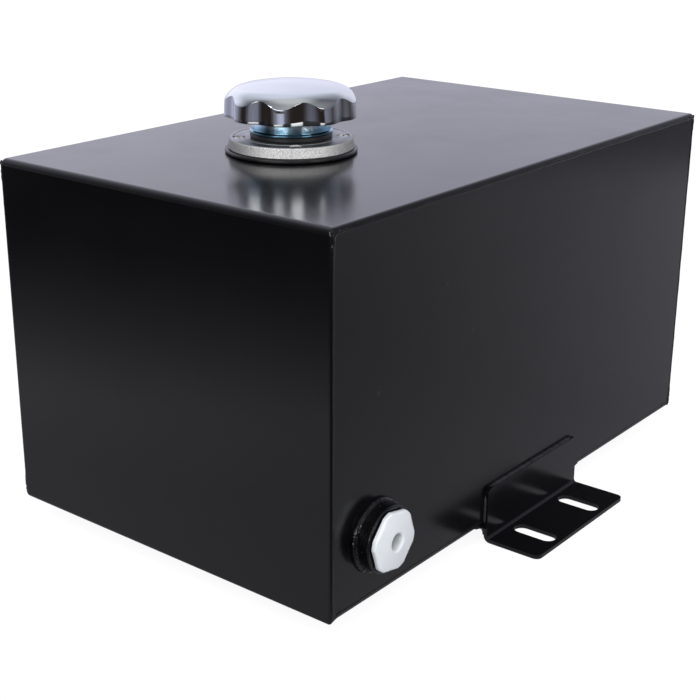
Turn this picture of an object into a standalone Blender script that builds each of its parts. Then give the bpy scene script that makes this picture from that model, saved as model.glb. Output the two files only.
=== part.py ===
"""Hydraulic reservoir: a welded sheet tank on two slotted feet, with a bayonet filler-breather on
top and two plugged ports in welded bosses. Metres, +Z up. The origin is on the mounting plane
below the tank's centre, +X runs along the tank, and the suction port is on the -Y side.
Lengths below are in millimetres and are turned into metres when a mesh is made.
Angles are in degrees."""

import math

import bmesh
import bpy
from mathutils import Vector

MM = 0.001
GAP = 0.3  # between pieces that rest on or sit in one another
PAST = 2.0  # how far a cutter reaches beyond the face it breaks through
SHARP = 32  # edges bent more than this are shaded sharp
FRONT, REAR = -1, 1  # the -Y and +Y sides of the tank

# tank
TANK_L, TANK_W, TANK_H = 400.0, 250.0, 218.0
LIFT = 11.0  # tank bottom above the mounting plane
SHEET = 2.5
BEND_R = 5.0
RIM_R = 1.3  # round on the outer edge at each open end of the wrap
HALF_W = TANK_W / 2
MID_Z, TOP_Z = LIFT + TANK_H / 2, LIFT + TANK_H
PANEL_L, PANEL_H = TANK_L - 2 * SHEET - 2 * GAP, TANK_H - 2 * SHEET - 2 * GAP
PANEL_R = 2.3

# feet
FOOT_X = 1.2
FOOT_W, FOOT_TOP, FOOT_T = 105.0, 35.7, 2.5
FOOT_OUT = 39.6  # tip, from the tank's side
FOOT_BEND_R = 2.0  # inside of the bend
FOOT_UP_R, FOOT_TIP_R = 4.0, 3.2  # corners of the upright and of the tip
FOOT_SHARP = 40
SLOT_PITCH, SLOT_L, SLOT_W = 53.6, 28.6, 11.0
SLOT_OUT = 21.6  # slot centre, from the tank's side

# ports, heights outward from the tank's side
PORT_X, PORT_Z = 161.1, 49.1  # X is negative for the front port
BUNG_R, BUNG_OUT, BUNG_IN, BORE_R = 19.6, 10.0, 14.0, 12.9
RECESS_R, RECESS_DEEP = 15.6, 1.2  # ring recess in the boss's outer face
ORING_R, ORING_HEIGHT, ORING_WIRE_R = 14.25, 9.85, 0.8
HEX_AF, HEX_R, HEX_BASE, HEX_H, HEX_DOME = 32.4, 18.4, 10.8, 2.6, 1.9
PLUG_TURN = 16.5
PLUG_HOLE_R, PLUG_HOLE_DEEP = 4.9, 5.0
SHANK_R = BORE_R - GAP

# filler, heights above the tank's top
FILL_X, FILL_Y = -73.4, 8.3
FILL = (FILL_X, FILL_Y, TOP_Z)
FILL_HOLE_R = 29.0
SEAL_GAP = 0.2  # below and above the gasket
GASKET_R, GASKET_IN_R, GASKET_T = 40.0, 28.0, 2.5
FLANGE_R, FLANGE_LOW, FLANGE_TOP = 38.0, GASKET_T + SEAL_GAP, 9.0
NECK_R, NECK_IN_R, NECK_LOW = 27.0, 24.0, -8.0
NECK_SEAT_R = 25.3  # wider bore below the step inside the neck
LIP_R, LIP_T = 17.5, 2.5
LIP_LOW = FLANGE_TOP - LIP_T
TAB_ANGLE = 20.0  # direction of the first tab in plan
TAB_ANGLES = (TAB_ANGLE, TAB_ANGLE + 180)
NOTCH_DEG = 17.5  # half the angle of a notch in the lip
NOTCH_IN_R, NOTCH_OUT_R = 12.0, NECK_IN_R - 0.4
RAMP_DEG, RAMP_DROP, RAMP_STEPS = 58.0, 1.0, 8
RAMP_START_DEG = 0.6  # from the notch's edge to the ramp
STOP_NEAR_DEG, STOP_FAR_DEG = 1.5, 9.0  # beyond the ramp's end
STOP_IN_R, STOP_LOW = 19.0, 2.6
BITE = 0.8  # how far ramps and stops sink into the flange
SCREW_PCR, SCREW_HOLE_R = 31.5, 2.3
SCREW_SEAT_R, SCREW_SEAT_Z = 3.8, 5.8
SCREW_TURN, SCREW_TURN_STEP = 20, 37
CROSS_L, CROSS_W, CROSS_LOW = 4.4, 0.9, 7.2
BASKET_R, BASKET_DEEP, BASKET_T = 23.4, 70.0, 0.8
BASKET_RIM_R, BASKET_RIM_LOW, BASKET_RIM_TOP = 24.9, -1.7, -0.5
WINDOW_ROWS, WINDOW_COLUMNS, WINDOW_TURN = 4, 8, 5.6
WINDOW_W, WINDOW_H, WINDOW_PITCH, WINDOW_START = 6.0, 10.0, 15.0, 6.0
WINDOW_IN_R, WINDOW_OUT_R = 19.0, 27.0

# cap, heights above the tank's top
CAP_R, CAP_LOBE_R, CAP_FLUTE_R = 40.75, 40.0, 37.3
CAP_LOW, CAP_TOP = 21.6, 42.15
CROWN_R, SHOULDER_R = 142.0, 13.4
LOBES, FLUTE_ANGLE = 9, -128.0
CAP_WALL, CAP_SHARP, CAP_SEGMENTS = 1.2, 18, 72
CUP_R, CUP_LOW, CUP_HIGH = 25.0, 12.3, 23.6
CUP_T, CUP_RIM_R = 1.2, 31.0
CUP_HOLE_R, CUP_HOLE_PCR, CUP_HOLES = 2.2, 12.5, 6
STUD_R = 3.0
STUD_HOLE_R = STUD_R + GAP
BAR_LOW, BAR_HIGH, BAR_SHARP = 3.9, 6.1, 40
BAR_HUB_R, BAR_HALF_W = 8.6, 5.4
TAB_DEG, TAB_R = 14.0, 22.3  # half the angle of a tab, and its reach
SPRING_LOW, SPRING_HIGH, COIL_R, WIRE_R = -8.0, BAR_LOW - GAP, 5.6, 0.6
SPRING_TURNS, COIL_STEPS, WIRE_SEGMENTS = 5, 12, 5
SPRING_FLAT = 0.1  # share of the wire that lies flat at each end
NUT_R, NUT_LOW, NUT_HIGH = 5.77, -13.9, -9.9
WASHER_R, WASHER_T, WASHER_LOW = 8.0, 1.2, NUT_HIGH + GAP

for old in list(bpy.data.objects):
    bpy.data.objects.remove(old, do_unlink=True)


# ---------------------------------------------------------------- points and outlines
def spread(first, last, steps):
    """Evenly spaced values, both ends included."""
    return [first + (last - first) * k / steps for k in range(steps + 1)]


def polar(radius, angle):
    a = math.radians(angle)
    return radius * math.cos(a), radius * math.sin(a)


def arc(radius, first, last, steps, cx=0.0, cy=0.0):
    points = [polar(radius, angle) for angle in spread(first, last, steps)]
    return [(cx + x, cy + y) for x, y in points]


def circle(radius, count, cx=0.0, cy=0.0):
    points = [polar(radius, 360 * k / count) for k in range(count)]
    return [(cx + x, cy + y) for x, y in points]


def rounded_box(width, height, radius, steps):
    """A rectangle centred on (0, 0), its corners round."""
    x, y = width / 2 - radius, height / 2 - radius
    points = []
    for cx, cy, start in ((x, y, 0), (-x, y, 90), (-x, -y, 180), (x, -y, 270)):
        points += arc(radius, start, start + 90, steps, cx, cy)
    return points


def rectangle(length, width):
    x, y = length / 2, width / 2
    return [(-x, -y), (x, -y), (x, y), (-x, y)]


def sector(inner_r, outer_r, first, last, steps=8):
    return arc(outer_r, first, last, steps) + arc(inner_r, first, last, steps)[::-1]


def slot(cx, cy, length, width):
    """A slot along y."""
    straight = (length - width) / 2
    return arc(width / 2, 0, 180, 8, cx, cy + straight) + arc(
        width / 2, 180, 360, 8, cx, cy - straight
    )


def turned(section, angle):
    """Points (r, z) placed in the upright plane at an angle about the z axis."""
    return [(*polar(r, angle), z) for r, z in section]


# ---------------------------------------------------------------- meshes
def mesh_from(points, faces):
    """A mesh in metres from points in millimetres, its faces turned outward."""
    bm = bmesh.new()
    verts = [bm.verts.new(Vector(p) * MM) for p in points]
    for face in faces:
        bm.faces.new([verts[i] for i in face])
    bmesh.ops.recalc_face_normals(bm, faces=bm.faces)
    mesh = bpy.data.meshes.new("shape")
    bm.to_mesh(mesh)
    bm.free()
    return mesh


def lathe_mesh(profile, segments):
    """A closed profile of (r, z) turned about the z axis. Points at r = 0 become poles."""
    points, rings = [], []
    for r, z in profile:
        if r < 1e-6:
            rings.append([len(points)] * segments)
            points.append((0.0, 0.0, z))
        else:
            rings.append(list(range(len(points), len(points) + segments)))
            points += [(x, y, z) for x, y in circle(r, segments)]
    faces = []
    for low, high in zip(rings, rings[1:] + rings[:1]):
        for k in range(segments):
            m = (k + 1) % segments
            face = list(dict.fromkeys((low[k], low[m], high[m], high[k])))
            if len(face) > 2:  # a run along the axis has no face
                faces.append(face)
    return mesh_from(points, faces)


def band(low, high, size):
    """Four-sided faces between two loops of points, each given by its first index."""
    faces = []
    for k in range(size):
        m = (k + 1) % size
        faces.append([low + k, low + m, high + m, high + k])
    return faces


def loft_mesh(loops, ring=False):
    """A solid from equal-length loops. The first and last are closed by one face each, or in a
    ring the last is joined to the first."""
    size, count = len(loops[0]), len(loops)
    faces = []
    if not ring:
        faces = [list(range(size)), list(range((count - 1) * size, count * size))]
    for i in range(count if ring else count - 1):
        faces += band(i * size, (i + 1) % count * size, size)
    return mesh_from([p for loop in loops for p in loop], faces)


def prism_mesh(outline, low, high):
    return loft_mesh([[(x, y, z) for x, y in outline] for z in (low, high)])


def joined(meshes):
    """Several separate closed meshes as one."""
    bm = bmesh.new()
    for mesh in meshes:
        bm.from_mesh(mesh)
        bpy.data.meshes.remove(mesh)
    made = bpy.data.meshes.new("tool")
    bm.to_mesh(made)
    bm.free()
    return made


# ---------------------------------------------------------------- objects
def smooth(made, sharp):
    made.data.shade_smooth()
    made.data.set_sharp_from_angle(angle=math.radians(sharp))


def make(name, mesh, mat, place, turn=(0, 0, 0), sharp=SHARP):
    mesh.name = name
    mesh.materials.append(mat)
    made = bpy.data.objects.new(name, mesh)
    made.location = Vector(place) * MM
    made.rotation_euler = [math.radians(a) for a in turn]
    bpy.context.scene.collection.objects.link(made)
    smooth(made, sharp)
    return made


def combine(target, mesh, operation, sharp=SHARP):
    """Cut or join a mesh in the target's own frame, and keep the result as the target's mesh."""
    tool = bpy.data.objects.new("tool", mesh)
    bpy.context.scene.collection.objects.link(tool)
    tool.location = target.location
    tool.rotation_euler = target.rotation_euler
    step = target.modifiers.new("shape", "BOOLEAN")
    step.solver = "EXACT"
    step.operation = operation
    step.object = tool
    bpy.context.view_layer.update()
    graph = bpy.context.evaluated_depsgraph_get()
    result = bpy.data.meshes.new_from_object(target.evaluated_get(graph))
    before = target.data
    target.modifiers.clear()
    target.data = result
    bpy.data.meshes.remove(before)
    bpy.data.objects.remove(tool, do_unlink=True)
    bpy.data.meshes.remove(mesh)
    result.name = target.name
    smooth(target, sharp)


def cut(target, outlines, low, high, sharp=SHARP):
    """Cut separate outlines out of the target between two local heights."""
    tools = joined([prism_mesh(outline, low, high) for outline in outlines])
    combine(target, tools, "DIFFERENCE", sharp)


def cut_through(target, outlines, low, high, sharp=SHARP):
    """Cut outlines right through the layer between two local heights."""
    cut(target, outlines, low - PAST, high + PAST, sharp)


# ---------------------------------------------------------------- materials
def material(name, colour, roughness, metallic):
    made = bpy.data.materials.new(name)
    made.use_nodes = True
    shader = made.node_tree.nodes["Principled BSDF"]
    shader.inputs["Base Color"].default_value = (*colour, 1.0)
    shader.inputs["Roughness"].default_value = roughness
    shader.inputs["Metallic"].default_value = metallic
    made.diffuse_color = (*colour, 1.0)
    return made


coat = material(
    "powder_coat_black", colour=(0.035, 0.034, 0.040), roughness=0.32, metallic=0.0
)
gloss = material(
    "paint_gloss_black", colour=(0.012, 0.012, 0.014), roughness=0.18, metallic=0.0
)
rubber = material("rubber_black", colour=(0.018, 0.018, 0.020), roughness=0.55, metallic=0.0)
cast = material("cast_silver", colour=(0.62, 0.61, 0.60), roughness=0.45, metallic=1.0)
chrome = material("chrome", colour=(0.78, 0.78, 0.80), roughness=0.06, metallic=1.0)
zinc = material("zinc_blue", colour=(0.45, 0.58, 0.68), roughness=0.18, metallic=1.0)
plastic = material("plastic_white", colour=(0.86, 0.88, 0.90), roughness=0.32, metallic=0.0)
steel = material("steel", colour=(0.55, 0.54, 0.53), roughness=0.35, metallic=1.0)
foam = material("filter_foam", colour=(0.10, 0.10, 0.11), roughness=0.95, metallic=0.0)


# ---------------------------------------------------------------- tank
SCREW_SPOTS = [polar(SCREW_PCR, 45 + 90 * k) for k in range(4)]  # from the filler's axis


def screw_holes(cx=0.0, cy=0.0):
    return [circle(SCREW_HOLE_R, 12, cx + x, cy + y) for x, y in SCREW_SPOTS]


def wrap_loop(inset, y):
    box = rounded_box(TANK_L - 2 * inset, TANK_H - 2 * inset, BEND_R - inset, 6)
    return [(x, y, z) for x, z in box]


def tank_wrap():
    """Floor, ends and roof as one bent sheet, open at -Y and +Y."""
    outer = [
        wrap_loop(RIM_R * (1 - sine), -HALF_W + RIM_R * (1 - cosine))
        for cosine, sine in arc(1, 0, 90, 4)
    ]
    outer += [[(x, -y, z) for x, y, z in loop] for loop in reversed(outer)]
    inner = [wrap_loop(SHEET, HALF_W), wrap_loop(SHEET, -HALF_W)]
    made = make("tank_wrap", loft_mesh(outer + inner, ring=True), coat, (0, 0, MID_Z))
    holes = [circle(FILL_HOLE_R, 40, FILL_X, FILL_Y)] + screw_holes(FILL_X, FILL_Y)
    cut_through(made, holes, TANK_H / 2 - SHEET, TANK_H / 2)


def side_turn(side):
    """Rotation that points local z out of the tank. Local y is up in front, down at the rear."""
    return (-90 * side, 0, 0)


def side_plate(name, side):
    mesh = prism_mesh(rounded_box(PANEL_L, PANEL_H, PANEL_R, 3), -SHEET, 0)
    made = make(name, mesh, coat, (0, side * HALF_W, MID_Z), side_turn(side))
    hole = circle(BUNG_R + GAP, 40, side * PORT_X, -side * (PORT_Z - MID_Z))
    cut_through(made, [hole], -SHEET, 0)


tank_wrap()
side_plate("port_side_plate", FRONT)
side_plate("rear_side_plate", REAR)


# ---------------------------------------------------------------- feet
def foot(name, side):
    """An L of bent sheet, from the top of its upright round the bend to its tip."""
    back = HALF_W + GAP  # the face against the tank
    face = back + FOOT_T
    tip = HALF_W + FOOT_OUT
    bend = (face + FOOT_BEND_R, FOOT_T + FOOT_BEND_R)
    quarter = arc(1, 0, 90, 5)

    # (point on the back or underside, point on the face or top, inset of both ends),
    # each point as (outward, height)
    stations = []
    for cosine, sine in quarter:
        z = FOOT_TOP - FOOT_UP_R * (1 - cosine)
        stations.append(((back, z), (face, z), FOOT_UP_R * (1 - sine)))
    outside = arc(FOOT_BEND_R + FOOT_T, 180, 270, 5, *bend)
    inside = arc(FOOT_BEND_R, 180, 270, 5, *bend)
    stations += [(under, over, 0.0) for under, over in zip(outside, inside)]
    for cosine, sine in quarter:
        out = tip - FOOT_TIP_R * (1 - sine)
        stations.append(((out, 0.0), (out, FOOT_T), FOOT_TIP_R * (1 - cosine)))

    loops = []
    for under, over, inset in stations:
        x = FOOT_W / 2 - inset
        corners = ((-x, under), (x, under), (x, over), (-x, over))
        loops.append([(cx, side * out, z) for cx, (out, z) in corners])
    made = make(name, loft_mesh(loops), coat, (FOOT_X, 0, 0), sharp=FOOT_SHARP)
    slots = [
        slot(end * SLOT_PITCH / 2, side * (HALF_W + SLOT_OUT), SLOT_L, SLOT_W) for end in (-1, 1)
    ]
    cut_through(made, slots, 0, FOOT_T, FOOT_SHARP)


foot("mounting_foot_front", FRONT)
foot("mounting_foot_rear", REAR)


# ---------------------------------------------------------------- ports
def bung_mesh():
    """The welded boss."""
    floor = BUNG_OUT - RECESS_DEEP
    profile = [  # (radius, height)
        (BORE_R, -BUNG_IN),
        (BUNG_R, -BUNG_IN),
        (BUNG_R, BUNG_OUT - 1.0),
        (BUNG_R - 0.3, BUNG_OUT - 0.3),
        (BUNG_R - 1.0, BUNG_OUT),
        (RECESS_R, BUNG_OUT),
        (RECESS_R, floor),
        (BORE_R + 0.6, floor),
        (BORE_R, floor - 0.7),
    ]
    return lathe_mesh(profile, 36)


def oring_mesh():
    return lathe_mesh(circle(ORING_WIRE_R, 8, ORING_R, ORING_HEIGHT), 28)


def plug_outline():
    """A hexagon trimmed by a circle, as (radius, angle)."""
    apothem = HEX_AF / 2
    corner = math.degrees(math.acos(apothem / HEX_R))  # from a flat's middle to its end
    outline = []
    for side in range(6):
        middle = PLUG_TURN + 60 * side
        for offset in spread(-corner, corner, 2):
            outline.append((apothem / math.cos(math.radians(offset)), middle + offset))
        for offset in spread(corner, 60 - corner, 3)[1:-1]:
            outline.append((HEX_R, middle + offset))
    return outline


def plug_mesh():
    """A round shank, a trimmed hexagon head with a shallow dome, and a blind hole in its top."""
    outline = plug_outline()
    top = HEX_BASE + HEX_H

    def dome(r):
        return top + HEX_DOME * (1 - (r / HEX_R) ** 2)

    def round_loop(r, z):
        return [(*polar(r, angle), z) for _, angle in outline]

    def head_loop(scale, z):
        return [(*polar(r * scale, angle), z) for r, angle in outline]

    def dome_loop(scale):
        return [(*polar(r * scale, angle), dome(r * scale)) for r, angle in outline]

    shank = [  # (radius, height)
        (SHANK_R - 1.0, -4.2),
        (SHANK_R, -3.2),
        (SHANK_R, HEX_BASE - 0.6),
        (SHANK_R, HEX_BASE),
    ]
    head = [  # (scale of the outline, height)
        (0.985, HEX_BASE),
        (1.0, HEX_BASE + 0.3),
        (1.0, top - 0.7),
        (0.975, top - 0.2),
    ]
    bottom = dome(0) - PLUG_HOLE_DEEP
    hole = [  # (radius, height)
        (PLUG_HOLE_R + 0.9, dome(PLUG_HOLE_R + 0.9)),
        (PLUG_HOLE_R + 0.3, dome(PLUG_HOLE_R) - 0.15),
        (PLUG_HOLE_R, dome(PLUG_HOLE_R) - 0.7),
        (PLUG_HOLE_R - 0.3, bottom + 1.2),
        (PLUG_HOLE_R - 1.5, bottom),
    ]
    loops = [round_loop(r, z) for r, z in shank]
    loops += [head_loop(scale, z) for scale, z in head]
    loops += [dome_loop(scale) for scale in (0.93, 0.75, 0.5)]
    loops += [round_loop(r, z) for r, z in hole]
    return loft_mesh(loops)


def port(prefix, side):
    place, turn = (side * PORT_X, side * HALF_W, PORT_Z), side_turn(side)
    make(prefix + "_port_bung", bung_mesh(), gloss, place, turn)
    make(prefix + "_plug_oring", oring_mesh(), rubber, place, turn, sharp=60)
    make(prefix + "_port_plug", plug_mesh(), plastic, place, turn, sharp=28)


port("suction", FRONT)
port("return", REAR)


# ---------------------------------------------------------------- filler
# Profiles from here on are closed lists of (radius, height).
def flange_gasket():
    profile = [
        (GASKET_IN_R, SEAL_GAP),
        (GASKET_R - 0.5, SEAL_GAP),
        (GASKET_R, SEAL_GAP + 0.5),
        (GASKET_R, GASKET_T - 0.6),
        (GASKET_R - 0.5, GASKET_T),
        (GASKET_IN_R, GASKET_T),
    ]
    made = make("flange_gasket", lathe_mesh(profile, 48), rubber, FILL)
    cut_through(made, screw_holes(), SEAL_GAP, GASKET_T)


def ramp_mesh(first, last):
    """A ramp under the lip that gets deeper from the first angle to the last."""
    inner_r, outer_r, top = LIP_R + 0.5, NECK_IN_R + BITE, LIP_LOW + BITE
    start_z = LIP_LOW - 0.05
    heights = spread(start_z, start_z - RAMP_DROP, RAMP_STEPS)
    loops = []
    for angle, low in zip(spread(first, last, RAMP_STEPS), heights):
        section = [(inner_r, low), (outer_r, low), (outer_r, top), (inner_r, top)]
        loops.append(turned(section, angle))
    return loft_mesh(loops)


def filler_flange():
    """Flange and neck, with a notched lip for the bayonet bar."""
    profile = [
        (LIP_R, LIP_LOW),
        (NECK_IN_R, LIP_LOW),
        (NECK_IN_R, 0.0),
        (NECK_SEAT_R, 0.0),
        (NECK_SEAT_R, NECK_LOW),
        (NECK_R, NECK_LOW),
        (NECK_R, FLANGE_LOW),
        (FLANGE_R, FLANGE_LOW),
        (FLANGE_R - 0.35, FLANGE_TOP - 1.8),
        (FLANGE_R - 0.7, FLANGE_TOP - 0.8),
        (FLANGE_R - 1.5, FLANGE_TOP - 0.2),
        (FLANGE_R - 2.3, FLANGE_TOP),
        (LIP_R + 0.3, FLANGE_TOP),
        (LIP_R, FLANGE_TOP - 0.3),
    ]
    made = make("filler_flange", lathe_mesh(profile, 48), cast, FILL)
    notches = []
    for centre in TAB_ANGLES:
        # each ramp falls away clockwise, seen from above, with a stop just beyond its end
        edge = centre - NOTCH_DEG
        last = edge - RAMP_DEG
        combine(made, ramp_mesh(edge - RAMP_START_DEG, last), "UNION")
        stop = sector(
            STOP_IN_R, NECK_IN_R + BITE, last - STOP_FAR_DEG, last - STOP_NEAR_DEG, steps=4
        )
        combine(made, prism_mesh(stop, STOP_LOW, LIP_LOW + BITE), "UNION")
        notches.append(sector(NOTCH_IN_R, NOTCH_OUT_R, edge, centre + NOTCH_DEG))
    cut_through(made, notches + screw_holes(), FLANGE_LOW, FLANGE_TOP)
    seats = [circle(SCREW_SEAT_R, 20, x, y) for x, y in SCREW_SPOTS]
    cut(made, seats, SCREW_SEAT_Z, FLANGE_TOP + PAST)


def flange_screw(index, x, y):
    profile = [
        (0.0, -6.0),
        (1.4, -6.0),
        (1.95, -5.4),
        (1.95, 6.1),
        (3.45, 6.1),
        (3.45, 7.9),
        (2.9, 8.4),
        (0.0, 8.4),
    ]
    made = make(
        "flange_screw_%d" % (index + 1),
        lathe_mesh(profile, 16),
        steel,
        (FILL_X + x, FILL_Y + y, TOP_Z),
        (0, 0, SCREW_TURN + SCREW_TURN_STEP * index),
    )
    head_top = profile[-1][1]
    for length, width in ((CROSS_L, CROSS_W), (CROSS_W, CROSS_L)):
        cut(made, [rectangle(length, width)], CROSS_LOW, head_top + PAST)


def window_outline(angle):
    """A rectangle that crosses the basket's wall at an angle in plan."""
    ux, uy = polar(1, angle)
    half = WINDOW_W / 2
    corners = (
        (WINDOW_IN_R, -half),
        (WINDOW_OUT_R, -half),
        (WINDOW_OUT_R, half),
        (WINDOW_IN_R, half),
    )
    return [(r * ux - across * uy, r * uy + across * ux) for r, across in corners]


def basket_strainer():
    """A can with staggered windows, its flat rim below the step inside the neck."""
    low = -BASKET_DEEP
    profile = [
        (0.0, low),
        (BASKET_R - 1.0, low),
        (BASKET_R, low + 1.0),
        (BASKET_R, BASKET_RIM_LOW),
        (BASKET_RIM_R, BASKET_RIM_LOW),
        (BASKET_RIM_R, BASKET_RIM_TOP),
        (BASKET_R - BASKET_T, BASKET_RIM_TOP),
        (BASKET_R - BASKET_T, low + 1.0),
        (BASKET_R - 1.2, low + BASKET_T),
        (0.0, low + BASKET_T),
    ]
    made = make("basket_strainer", lathe_mesh(profile, 32), steel, FILL)
    pitch = 360 / WINDOW_COLUMNS
    for row in range(WINDOW_ROWS):
        turn = WINDOW_TURN + (pitch / 2 if row % 2 else 0)
        z = low + WINDOW_START + row * WINDOW_PITCH
        windows = [window_outline(pitch * column + turn) for column in range(WINDOW_COLUMNS)]
        cut(made, windows, z, z + WINDOW_H)


flange_gasket()
filler_flange()
for index, (x, y) in enumerate(SCREW_SPOTS):
    flange_screw(index, x, y)
basket_strainer()


# ---------------------------------------------------------------- cap
def side_radius(angle, wall):
    """Radius of the fluted skirt."""
    wave = math.cos(math.radians(LOBES * (angle - FLUTE_ANGLE)))
    return CAP_LOBE_R - (CAP_LOBE_R - CAP_FLUTE_R) * (0.5 + 0.5 * wave) - wall


def cap_column(angle, wall, steps):
    """Points (r, z) from the skirt's foot to just short of the crown's centre."""
    shoulder_r, crown_r, top = SHOULDER_R - wall, CROWN_R - wall, CAP_TOP - wall
    centre_r = CAP_R - SHOULDER_R  # the shoulder arc's centre
    rise = math.sqrt((crown_r - shoulder_r) ** 2 - centre_r**2)
    side = side_radius(angle, wall)
    start = math.degrees(math.acos((side - centre_r) / shoulder_r))
    end = math.degrees(math.atan2(rise, centre_r))  # where shoulder and crown meet
    shoulder = arc(shoulder_r, start, end, steps, centre_r, top - crown_r + rise)
    crown = arc(crown_r, end, 90, 4, 0.0, top - crown_r)[1:-1]
    crease = shoulder[0][1]
    return [(side, CAP_LOW), (side, (CAP_LOW + crease) / 2)] + shoulder + crown


def cap_rows(wall, steps):
    """Rings of points from the skirt's foot upward."""
    angles = [360 * k / CAP_SEGMENTS for k in range(CAP_SEGMENTS)]
    return list(zip(*[turned(cap_column(a, wall, steps), a) for a in angles]))


def cap_shell():
    size = CAP_SEGMENTS
    outer, inner = cap_rows(0.0, 5), cap_rows(CAP_WALL, 3)
    rows = outer + inner
    points = [p for row in rows for p in row]
    pole = len(points)  # the outer pole, and the inner one after it
    points += [(0, 0, CAP_TOP), (0, 0, CAP_TOP - CAP_WALL)]
    faces = []
    for first, last, centre in (
        (0, len(outer) - 1, pole),
        (len(outer), len(rows) - 1, pole + 1),
    ):
        for row in range(first, last):
            faces += band(row * size, (row + 1) * size, size)
        start = last * size
        faces += [[start + k, start + (k + 1) % size, centre] for k in range(size)]
    faces += band(0, len(outer) * size, size)  # the foot, between the two skins
    make("cap_shell", mesh_from(points, faces), chrome, FILL, sharp=CAP_SHARP)


def cap_gasket():
    """Rubber ring under the cup."""
    profile = [(18.6, 9.2), (24.6, 9.2), (24.9, 9.6), (24.7, 11.6), (24.2, 12.0), (18.6, 12.0)]
    make("cap_gasket", lathe_mesh(profile, 40), rubber, FILL)


def cap_base_cup():
    """A dish with holes in its floor and a flat rim under the breather ring."""
    profile = [
        (STUD_HOLE_R, CUP_LOW),
        (CUP_R - 1.8, CUP_LOW),
        (CUP_R - 0.5, CUP_LOW + 0.5),
        (CUP_R, CUP_LOW + 1.8),
        (CUP_R, CUP_HIGH - CUP_T),
        (CUP_RIM_R, CUP_HIGH - CUP_T),
        (CUP_RIM_R, CUP_HIGH),
        (CUP_R - CUP_T, CUP_HIGH),
        (CUP_R - CUP_T, CUP_LOW + 1.8),
        (CUP_R - 1.9, CUP_LOW + CUP_T),
        (STUD_HOLE_R, CUP_LOW + CUP_T),
    ]
    made = make("cap_base_cup", lathe_mesh(profile, 40), zinc, FILL)
    holes = [circle(CUP_HOLE_R, 10, x, y) for x, y in circle(CUP_HOLE_PCR, CUP_HOLES)]
    cut_through(made, holes, CUP_LOW, CUP_LOW + CUP_T)


def breather_element():
    profile = [
        (20.0, 24.0),
        (33.0, 24.0),
        (34.0, 25.0),
        (34.0, 33.0),
        (29.0, 36.4),
        (20.0, 36.4),
    ]
    make("breather_element", lathe_mesh(profile, 32), foam, FILL)


def cap_stud():
    """The stud on the axis, with a collar above the cup's floor and a disc under the crown."""
    profile = [
        (0.0, -15.0),
        (STUD_R - 0.6, -15.0),
        (STUD_R, -14.4),
        (STUD_R, 14.0),
        (6.5, 14.0),
        (6.5, 16.5),
        (STUD_R, 16.5),
        (STUD_R, 38.6),
        (7.0, 38.6),
        (7.0, 40.1),
        (0.0, 40.1),
    ]
    make("cap_stud", lathe_mesh(profile, 20), steel, FILL)


def lock_plate():
    """The bayonet bar: a round hub with two opposite tabs."""
    root = math.degrees(math.asin(BAR_HALF_W / BAR_HUB_R))
    outline = []
    for tab in TAB_ANGLES:
        outline += arc(TAB_R, tab - TAB_DEG, tab + TAB_DEG, 6)
        outline += arc(BAR_HUB_R, tab + root, tab + 180 - root, 8)
    mesh = prism_mesh(outline, BAR_LOW, BAR_HIGH)
    made = make("lock_plate", mesh, steel, FILL, sharp=BAR_SHARP)
    cut_through(made, [circle(STUD_HOLE_R, 24)], BAR_LOW, BAR_HIGH, BAR_SHARP)


def lock_spring():
    rise = SPRING_HIGH - SPRING_LOW - 2 * WIRE_R
    loops = []
    for share in spread(0.0, 1.0, SPRING_TURNS * COIL_STEPS):
        climb = min(1.0, max(0.0, (share - SPRING_FLAT) / (1 - 2 * SPRING_FLAT)))
        wire = circle(WIRE_R, WIRE_SEGMENTS, COIL_R, SPRING_LOW + WIRE_R + rise * climb)
        loops.append(turned(wire, 360 * SPRING_TURNS * share))
    make("lock_spring", loft_mesh(loops), steel, FILL, sharp=60)


def spring_washer():
    top = WASHER_LOW + WASHER_T
    profile = [(STUD_HOLE_R, WASHER_LOW), (WASHER_R, WASHER_LOW), (WASHER_R, top), (STUD_HOLE_R, top)]
    make("spring_washer", lathe_mesh(profile, 24), zinc, FILL)


def stud_nut():
    made = make("stud_nut", prism_mesh(circle(NUT_R, 6), NUT_LOW, NUT_HIGH), zinc, FILL)
    cut_through(made, [circle(STUD_HOLE_R, 24)], NUT_LOW, NUT_HIGH)


cap_shell()
cap_gasket()
cap_base_cup()
breather_element()
cap_stud()
lock_plate()
lock_spring()
spring_washer()
stud_nut()
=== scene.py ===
# Looks of a hydraulic reservoir: a satin black sheet tank on two feet, two plugged ports,
# a cast filler flange and a chromed cap.
# Lengths are in millimetres and +Z is up. The tank is centred on the Z axis, its long side runs
# along X, the suction port and front foot face -Y, the return port and rear foot face +Y.
# Filler pieces are built about the filler's axis, with heights counted from the tank's top.
from math import acos, asin, atan2, cos, degrees, dist, hypot, pi, radians, sin, sqrt, tan

import bmesh
import bpy
import numpy as np
from mathutils import Matrix, Vector, noise


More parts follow.
